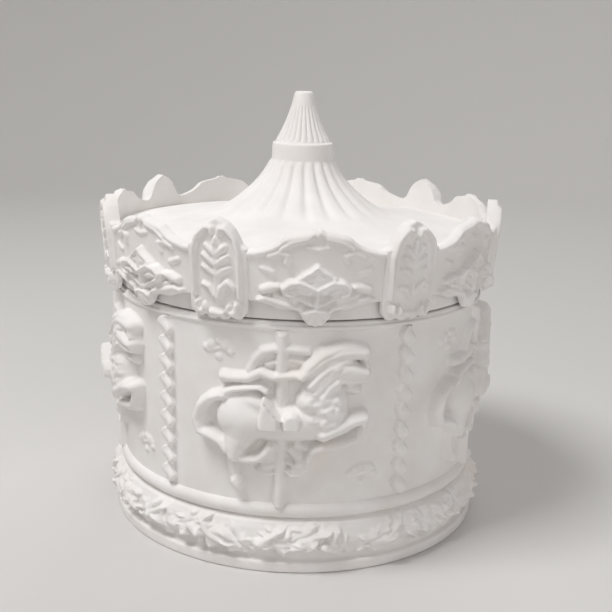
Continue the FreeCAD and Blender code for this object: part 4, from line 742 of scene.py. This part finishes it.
def leaf(u, z, index):
    """A broad leaf with a ruffled edge, a sunk midrib and side veins, lifted towards its lower right."""
    lean = math.radians(LEAF_LEAN + LEAF_SWING * math.sin(2.4 * index))
    x = wrapped(u - CIRCUMFERENCE * (index + 0.2 * math.sin(5.1 * index)) / LEAVES)
    y = z - LEAF_LEVEL - LEAF_WANDER * math.sin(1.9 * index)
    long = (x * math.cos(lean) + y * math.sin(lean)) / LEAF_LONG
    wide = (y * math.cos(lean) - x * math.sin(lean)) / LEAF_WIDE
    angle = np.arctan2(wide, long)
    edge = 0.86 + 0.2 * np.cos(5.0 * angle + index) + 0.1 * np.cos(9.0 * angle + 2.0 * index)
    reach = np.hypot(long, wide) / edge
    inside = np.clip((1.0 - reach) * 7.0, 0.0, 1.0) ** 0.6
    lift = LEAF_LIFT + LEAF_TIP * np.clip(0.5 * long - 0.9 * wide, -0.9, 0.9)
    ruffle = RUFFLE * np.exp(-((reach - 0.78) / 0.2) ** 2) * np.cos(6.0 * angle + 1.7 * index)
    veins = VEIN * np.cos(9.0 * (long - 0.5 * np.abs(wide)))
    midrib = MIDRIB * np.exp(-(wide / 0.11) ** 2)
    return inside * np.clip(lift + ruffle + veins - midrib, 0.0, None)


def garland_surface(across, along):
    """The whole garland on its rounded band, for the sheet helper."""
    turn = across * 2.0 * math.pi
    u = across * CIRCUMFERENCE
    z = GARLAND_LOW + (GARLAND_HIGH - GARLAND_LOW) * along
    section = np.array(GARLAND_SECTION)
    field = np.zeros_like(u)
    for index in range(LEAVES):
        field = np.maximum(field, leaf(u, z, index))
    for index in range(LEAVES // 2):
        middle = CIRCUMFERENCE * (2 * index + 1.2 + 0.4 * math.sin(3.3 * index)) / LEAVES
        drift = math.sin(2.7 * index)
        bud = (0.0, BUD_LEVEL + 1.2 * drift, BUD_RADIUS + 0.4 * drift)
        field = join(field, bump(wrapped(u - middle - BUD_OFFSET - drift), z, bud, BUD_HEIGHT), 0.2)
        berry = (0.0, BERRY_LEVEL - 0.6 * drift, BERRY_RADIUS)
        field = join(field, bump(wrapped(u - middle + BERRY_OFFSET), z, berry, BERRY_HEIGHT), 0.2)
        slant = wrapped(u - middle - BINDING_OFFSET) - 1.1 * drift * (z - 12.0) - 0.8 * np.sin(0.9 * z)
        binding = BINDING_HEIGHT * np.clip(1.0 - (slant / BINDING_WIDTH) ** 4, 0.0, 1.0) ** 0.5
        binding *= np.clip((BINDING_REACH - np.abs(z - BINDING_LEVEL)) / 1.6, 0.0, 1.0)
        field = join(field, binding, 0.3)
    field = worn(field, 1, wrap=True)
    field[:, -1] = field[:, 0]
    edge = np.clip(np.sin(math.pi * along) * 4.0, 0.0, 1.0)
    return turn, np.interp(z, section[:, 0], section[:, 1]) + field * edge, z


garland_sheet = sheet(*GARLAND_GRID, garland_surface)
close_ring(garland_sheet, GARLAND_BACK)
garland = piece("garland", garland_sheet, "case", "drum_casting", GARLAND_CREASE)
print("garland:", len(garland.data.polygons), "faces")

# %% [markdown]
# ## Lid
# The lid's plain part is spun like the drum's: a spigot that drops into the drum, a smooth skirt, the
# underside and the flat of the roof. The crown's panels stand round it, and the tent rises in the middle.

# %% Lid shell
LID_BASE = 88.5
SPIGOT_LOW = lid_low.z / MM
SPIGOT_OUT = 63.4
SPIGOT_IN = 60.0
SKIRT = 68.2
CROWN_SEAT = 70.1
HEM_TOP = 94.7
EAVES = 107.8
EAVES_RADIUS = 70.8
KNEE = 112.6
KNEE_RADIUS = 33.7
LID_WALL = 4.5
HUB_TOP = 109.5
HUB_RADIUS = 36.0
HUB_LAND = 29.0
LID_SOFT = 0.7
LID_STEPS = 224


def roof_level(radius):
    """Height of the roof's slope between the eaves and the knee."""
    return EAVES + (KNEE - EAVES) * (EAVES_RADIUS - radius) / (EAVES_RADIUS - KNEE_RADIUS)


lid_outline = [
    (SPIGOT_IN, SPIGOT_LOW), (SPIGOT_OUT, SPIGOT_LOW), (SPIGOT_OUT, LID_BASE), (SKIRT, LID_BASE),
    (SKIRT, HEM_TOP), (CROWN_SEAT, HEM_TOP + 0.3), (CROWN_SEAT, EAVES - LID_WALL / 2),
    (EAVES_RADIUS, EAVES - LID_WALL / 2, 0), (EAVES_RADIUS, EAVES, 0),
    (KNEE_RADIUS - 1.0, roof_level(KNEE_RADIUS - 1.0) - 0.4, 0), (HUB_LAND, KNEE - 1.0, 0),
    (HUB_LAND, HUB_TOP, 0),
    (HUB_RADIUS + 0.6, HUB_TOP, 0), (DRUM_INSIDE, EAVES - LID_WALL), (DRUM_INSIDE, LID_BASE + LID_WALL),
    (SPIGOT_IN, LID_BASE),
]
lid_shell = piece("lid_shell", lathe(rounded(lid_outline, LID_SOFT), LID_STEPS), "lid", "lid_casting")
print("lid_shell:", len(lid_shell.data.polygons), "faces")

# %% [markdown]
# ## Tent, collar and finial
# The roof sweeps up into a tent of soft ribs that fade out where the roof turns flat. A plain collar with a
# small ledge on top carries a fluted finial with a smooth cap. One grid goes round the axis and up this
# outline, and the ribs push it in and out.

# %% Tent, collar and finial
TENT_RIBS = 21
FINIAL_RIBS = 24
COLLAR_LOW = 133.6
COLLAR_TOP = 139.7
FINIAL_CAP = 153.2
FINIAL_TOP = lid_high.z / MM
TENT_SWEEP = [
    (66.2, 107.4), (66.0, 108.6), (60.0, 109.4), (50.0, 110.9), (42.0, 112.0), (36.0, 113.0), (33.0, 113.7),
    (30.0, 114.9), (25.8, 117.2), (22.5, 119.8), (18.7, 123.2), (16.3, 125.8), (13.9, 129.2), (12.2, 132.4),
    (11.6, 133.6),
]
FINIAL_SWEEP = [
    (11.6, 133.8), (11.3, 139.3), (11.0, 139.7), (10.2, 139.8), (10.0, 140.4), (8.1, 143.9), (6.5, 147.5),
    (5.2, 151.0), (4.5, 153.2), (4.1, 155.0), (3.5, 157.6), (3.1, 158.2), (2.0, 158.5), (0.0, 158.6),
]
TENT_ROWS = 70
FINIAL_ROWS = 84
TENT_COLUMNS = 432
RIB_FLAT = 34.0
RIB_FULL = 24.0
RIB_SHARE = 0.06
RIB_START = 1.6
RIB_OUT = 0.75
RIB_UP = 0.65
FLUTE_DEPTH = 0.08


def eased(points, count, passes):
    """Evenly spaced points along a path, its corners softened."""
    path = np.array(points)
    run = np.concatenate([[0.0], np.cumsum(np.hypot(*np.diff(path, axis=0).T))])
    share = np.linspace(0.0, run[-1], count)
    soft = np.stack([np.interp(share, run, path[:, axis]) for axis in (0, 1)], axis=1)
    for _ in range(passes):
        soft[1:-1] = 0.25 * soft[:-2] + 0.5 * soft[1:-1] + 0.25 * soft[2:]
    return soft


tent_points = np.concatenate([eased(TENT_SWEEP, TENT_ROWS, 6), eased(FINIAL_SWEEP, FINIAL_ROWS, 1)])
tent_points[:, 1] = np.minimum(tent_points[:, 1], FINIAL_TOP)


def faded(value, low, high):
    """0 at low, 1 at high, smooth between."""
    share = np.clip((value - low) / (high - low), 0.0, 1.0)
    return share * share * (3.0 - 2.0 * share)


def tent_surface(across, along):
    """Tent, collar and finial in one turn, for the sheet helper."""
    index = np.rint(along * (len(tent_points) - 1)).astype(int)
    radius, z = tent_points[index, 0], tent_points[index, 1]
    turn = across * 2.0 * math.pi
    ribs = 0.5 * np.cos(turn * TENT_RIBS) - 0.1 * np.cos(2.0 * turn * TENT_RIBS)
    start = faded(-z, -COLLAR_LOW, RIB_START - COLLAR_LOW)
    depth = start * np.minimum(1.0, RIB_SHARE * radius) * faded(-radius, -RIB_FLAT, -RIB_FULL)
    flutes = np.abs(np.sin(turn * FINIAL_RIBS / 2)) ** 0.7 - 0.8
    fluted = faded(z, COLLAR_TOP + 0.2, COLLAR_TOP + 1.4)
    cut = FLUTE_DEPTH * radius * fluted * faded(-z, -FINIAL_CAP, 0.8 - FINIAL_CAP)
    return turn, radius + ribs * depth * RIB_OUT + flutes * cut, z + ribs * depth * RIB_UP


tent = sheet(TENT_COLUMNS, len(tent_points) - 1, tent_surface)
bmesh.ops.remove_doubles(tent, verts=tent.verts, dist=MERGE)
bmesh.ops.holes_fill(tent, edges=[edge for edge in tent.edges if edge.is_boundary], sides=0)
bmesh.ops.recalc_face_normals(tent, faces=tent.faces)
canopy = piece("canopy_tent", tent, "lid", "lid_casting", TILE_CREASE)
print("canopy_tent:", len(canopy.data.polygons), "faces")

# %% [markdown]
# ## Crown
# Seven wide and seven narrow panels stand round the roof. A narrow one is an arched cartouche with a
# palmette. A wide one has a wavy crest with scrolls, a pointed leaf over two rolled lobes, and a shell that
# hangs below its scalloped hem. Each panel is a tile of its own: its grid runs from its lower edge to its
# upper one, so that the outline is part of the mesh, and its arrises are rounded over.

# %% Crown panels
PANELS = 7
PANEL_STEP = 2.0 * math.pi / PANELS
CROWN_TURN = math.radians(8.6)
CROWN_FOOT = 71.0
CROWN_REACH = 73.2
CROWN_BACK = 69.9
VALLEY = 112.0
ARRIS = 0.9
NARROW_HALF = 10.4
WIDE_HALF = math.pi * CROWN_REACH / PANELS - NARROW_HALF + 0.8
WIDE_PROUD = -0.5
NARROW_PROUD = 0.5
WIDE_GRID = (124, 86)
NARROW_GRID = (60, 90)
CROWN_CREASE = 50.0
CREST_DROP = 1.5
CREST_HEIGHT = 0.9
SHELL_HEIGHT = 2.6

WIDE_CREST = [
    (0.0, 118.6), (1.0, 118.9), (2.6, 118.0), (6.0, 117.4), (8.6, 117.0), (10.6, 116.4), (12.2, 115.0),
    (14.5, 113.6), (17.0, 112.7), (20.0, 111.9), (24.0, 111.7),
]
WIDE_HEM = [
    (0.0, 87.3), (2.4, 87.7), (4.2, 89.4), (5.2, 91.4), (6.4, 92.2), (8.0, 92.4), (10.0, 92.3),
    (12.4, 92.6), (14.6, 93.5), (16.9, 94.1), (18.6, 94.7), (20.4, 94.6), (24.0, 94.8),
]
NARROW_CREST = [
    (0.0, 121.3), (1.4, 120.7), (3.6, 119.6), (5.6, 117.8), (7.2, 115.2), (8.4, 112.9), (10.4, 111.8),
    (12.0, 111.6),
]
NARROW_HEM = [
    (0.0, 88.5), (1.6, 87.8), (3.4, 88.0), (4.6, 89.2), (6.2, 88.2), (8.0, 88.3), (9.2, 89.6), (10.4, 90.9),
]

WIDE_FORMS = [
    ([(-11.6, 112.4, 0.8), (-8.2, 114.6, 0.9), (-3.0, 115.8, 0.8)], 1.2),
    ([(-15.4, 110.0, 1.0), (-12.0, 111.2, 1.1), (-9.3, 110.4, 1.1), (-10.0, 108.0, 1.0)], 1.1),
    ([(-17.6, 106.0, 1.0), (-14.4, 104.8, 1.1)], 0.8),
    ([(-6.0, 103.2, 0.7), (-3.5, 104.5, 0.9), (-1.4, 105.8, 0.9), (0.0, 107.3, 0.7)], 2.9),
    ([(-6.0, 103.0, 0.7), (-3.4, 101.4, 0.9), (0.0, 99.7, 0.9)], 2.6),
    ([(-2.0, 99.0, 1.6), (-5.4, 100.2, 2.6), (-8.2, 99.8, 2.6)], 2.4),
    ([(-0.4, 99.8, 0.8), (-2.6, 101.0, 1.0), (-5.0, 102.1, 1.2), (-8.4, 101.7, 1.3), (-10.4, 100.0, 1.3),
      (-9.8, 98.2, 1.0), (-8.0, 97.5, 0.9)], 3.6),
    ([(-8.4, 99.2, 0.7), (-6.2, 99.6, 0.8), (-4.0, 98.5, 0.8)], 3.2),
    ([(-12.6, 100.4, 1.2), (-14.8, 99.9, 1.8), (-17.2, 99.2, 1.5)], 2.3),
    ([(-18.8, 95.8, 1.0), (-16.4, 96.4, 1.3), (-12.5, 95.2, 1.5), (-8.0, 94.1, 1.3), (-5.2, 93.2, 1.1)], 2.2),
    ([(-8.0, 97.0, 0.8), (-5.2, 96.6, 1.0), (-3.0, 95.3, 0.9), (-0.8, 94.4, 0.8)], 2.1),
    ([(-13.4, 97.6, 1.0), (-10.0, 96.4, 1.0), (-7.0, 95.4, 0.9)], 1.5),
]
WIDE_MIDDLE = [
    ([(0.0, 105.6, 1.2), (0.0, 103.2, 2.8), (0.0, 101.4, 2.4)], 2.5),
    ([(-4.8, 103.1, 0.9), (0.0, 103.2, 2.4), (4.8, 103.1, 0.9)], 2.4),
    ([(0.0, 99.2, 0.7), (0.0, 94.2, 0.9)], 2.9),
    ([(-3.4, 113.2, 0.8), (0.0, 112.4, 0.9), (3.4, 113.2, 0.8)], 0.7),
    ([(0.0, 116.6, 0.9), (0.0, 117.6, 0.8)], 1.4),
    ([(-5.0, 91.2, 0.7), (-2.6, 92.4, 0.8), (0.0, 92.8, 0.9), (2.6, 92.4, 0.8), (5.0, 91.2, 0.7)], 3.0),
]
SHELL = (0.0, 91.8, 5.0)
SHELL_RIBS = 7
SHELL_RIB_HEIGHT = 0.35
NARROW_FORMS = [
    ([(-7.9, 95.7, 0.9), (-8.0, 109.5, 1.0), (-6.6, 115.0, 1.0), (-3.4, 118.1, 1.0), (-1.5, 117.9, 0.9),
      (-1.3, 116.2, 0.8)], 1.6),
    ([(-0.4, 109.5, 0.9), (-2.0, 111.2, 1.2), (-3.4, 112.6, 0.7)], 1.5),
    ([(-0.4, 106.3, 1.0), (-2.4, 108.0, 1.3), (-4.2, 109.3, 0.8)], 1.6),
    ([(-0.4, 102.9, 1.0), (-2.6, 104.6, 1.3), (-4.6, 105.5, 0.8)], 1.4),
    ([(-6.9, 93.4, 1.0), (-7.0, 91.4, 1.2), (-5.4, 90.2, 1.2), (-3.9, 91.2, 1.1), (-4.4, 92.6, 0.9)], 2.3),
]
NARROW_MIDDLE = [
    ([(-1.8, 90.2, 1.3), (1.8, 90.0, 1.3)], 1.7),
    ([(0.0, 112.6, 0.9), (0.0, 94.7, 0.7)], 1.3),
    ([(0.0, 113.3, 1.2), (0.0, 114.8, 0.8)], 1.7),
    ([(0.8, 95.3, 0.9), (1.6, 98.5, 1.1), (4.0, 100.8, 1.2), (5.6, 99.3, 1.0)], 1.7),
    ([(-0.8, 95.7, 0.8), (-2.4, 98.9, 1.0), (-4.6, 99.5, 0.9)], 1.5),
]


def mirrored(forms):
    """The strokes of a left half with their mirror images."""
    return forms + [([(-u, z, half) for u, z, half in path], height) for path, height in forms]


def outline_level(u, outline):
    """Height of an edge at a distance from the panel's middle."""
    spots = np.array(outline)
    return np.interp(np.abs(u), spots[:, 0], spots[:, 1])


def crown_surface(half, crest, hem, carving, proud):
    """A panel between its hem and its crest, for the sheet helper."""
    def surface(across, along):
        u = (across - 0.5) * 2.0 * half
        low = outline_level(u, hem)
        high = outline_level(u, crest)
        z = low + (high - low) * along
        rise = np.clip((z - LID_BASE) / (VALLEY - LID_BASE), 0.0, 1.0)
        lean = CROWN_FOOT + (CROWN_REACH - CROWN_FOOT) * rise
        edge = np.minimum(np.minimum(high - z, z - low), (half - np.abs(u)) * 1.2)
        drop = ARRIS * (1.0 - np.sqrt(np.clip(1.0 - (1.0 - np.clip(edge / ARRIS, 0.0, 1.0)) ** 2, 0.0, 1.0)))
        return u / CROWN_REACH, lean + proud + worn(carving(u, z), 1) - drop, z
    return surface


def wide_carving(u, z):
    """Height map of a wide panel: its strokes, the raised line under its crest and the ribbed shell."""
    field = drawn(u, z, mirrored(WIDE_FORMS) + WIDE_MIDDLE, softness=0.4)
    rim = outline_level(u, WIDE_CREST) - CREST_DROP - z
    field = join(field, CREST_HEIGHT * np.clip(1.0 - rim ** 2, 0.0, 1.0) ** 0.5, 0.3)
    fan = np.arctan2(u - SHELL[0], SHELL[1] + 2.0 - z)
    ribs = SHELL_RIB_HEIGHT * np.cos(fan * SHELL_RIBS * 2)
    shell = bump(u, z, SHELL, SHELL_HEIGHT) * np.clip((SHELL[1] + 0.8 - z) / 0.6, 0.0, 1.0)
    return join(field, shell + ribs * (shell > 0.6), 0.3)


def narrow_carving(u, z):
    """Height map of a narrow panel."""
    return drawn(u, z, mirrored(NARROW_FORMS) + NARROW_MIDDLE, softness=0.3)


wide_surface = crown_surface(WIDE_HALF, WIDE_CREST, WIDE_HEM, wide_carving, WIDE_PROUD)
wide = sheet(*WIDE_GRID, wide_surface)
close_back(wide, CROWN_BACK)
narrow_surface = crown_surface(NARROW_HALF, NARROW_CREST, NARROW_HEM, narrow_carving, NARROW_PROUD)
narrow = sheet(*NARROW_GRID, narrow_surface)
close_back(narrow, CROWN_BACK)
for index in range(PANELS):
    spin = CROWN_TURN + PANEL_STEP * index
    half_way = spin + PANEL_STEP / 2
    wide_panel = piece(f"wide_panel_{index + 1}", wide, "lid", "lid_casting", CROWN_CREASE, spin)
    narrow_panel = piece(f"narrow_panel_{index + 1}", narrow, "lid", "lid_casting", CROWN_CREASE, half_way)
panel_faces = [len(panel.data.polygons) for panel in (wide_panel, narrow_panel)]
print("crown panels:", PANELS * 2, "with faces", panel_faces)

# %% [markdown]
# ## Floor and light
# A pale round sweep stands for the table and the background, so that every side of the box has the same
# ground. A lamp above and to the left gives the tops their brightness and the carving its shade. A weaker
# one fills from the front, a broad one behind lights the ground and the far rim, and the world adds a little
# light from all round.

# %% Floor
FLOOR_REACH = 900.0
SWEEP_REACH = 1600.0
SWEEP_RISE = 1100.0
SWEEP_STEPS = 96
sweep_path = [(0.0, 0.0)]
for angle in np.linspace(0.0, math.pi / 2, 16):
    reach = FLOOR_REACH + (SWEEP_REACH - FLOOR_REACH) * math.sin(angle)
    sweep_path.append((reach, SWEEP_RISE * (1.0 - math.cos(angle))))
sweep_bm = lathe(sweep_path, SWEEP_STEPS, closed=False)
sweep_mesh = bpy.data.meshes.new("floor")
sweep_bm.to_mesh(sweep_mesh)
sweep_mesh.shade_smooth()
card = new_finish("pale_card", {"Roughness": 0.9, "Base Color": linear("#D7D5D3")})[0]
sweep_mesh.materials.append(card)
floor = bpy.data.objects.new("floor", sweep_mesh)
bpy.context.scene.collection.objects.link(floor)
print("floor:", len(sweep_mesh.polygons), "faces")

# %% Light
LAMPS = [
    ("key_lamp", (-0.4, -0.3, 0.95), 0.35, 6.6),
    ("fill_lamp", (0.5, -0.9, 0.5), 0.9, 2.1),
    ("back_lamp", (0.3, 0.9, 1.1), 0.9, 4.0),
]
LAMP_AIM = Vector((0.0, 0.0, 0.07))
WORLD_STRENGTH = 0.29
for name, spot, size, power in LAMPS:
    lamp_data = bpy.data.lights.new(name, "AREA")
    lamp_data.size = size
    lamp_data.energy = power
    lamp = bpy.data.objects.new(name, lamp_data)
    lamp.location = spot
    lamp.rotation_euler = (LAMP_AIM - Vector(spot)).to_track_quat("-Z", "Y").to_euler()
    bpy.context.scene.collection.objects.link(lamp)
world = bpy.data.worlds.new("studio")
world.use_nodes = True
background = world.node_tree.nodes["Background"]
background.inputs["Color"].default_value = linear("#F2F0EE")
background.inputs["Strength"].default_value = WORLD_STRENGTH
bpy.context.scene.world = world
bpy.context.scene.view_settings.view_transform = "Standard"
print("lamps:", len(LAMPS))
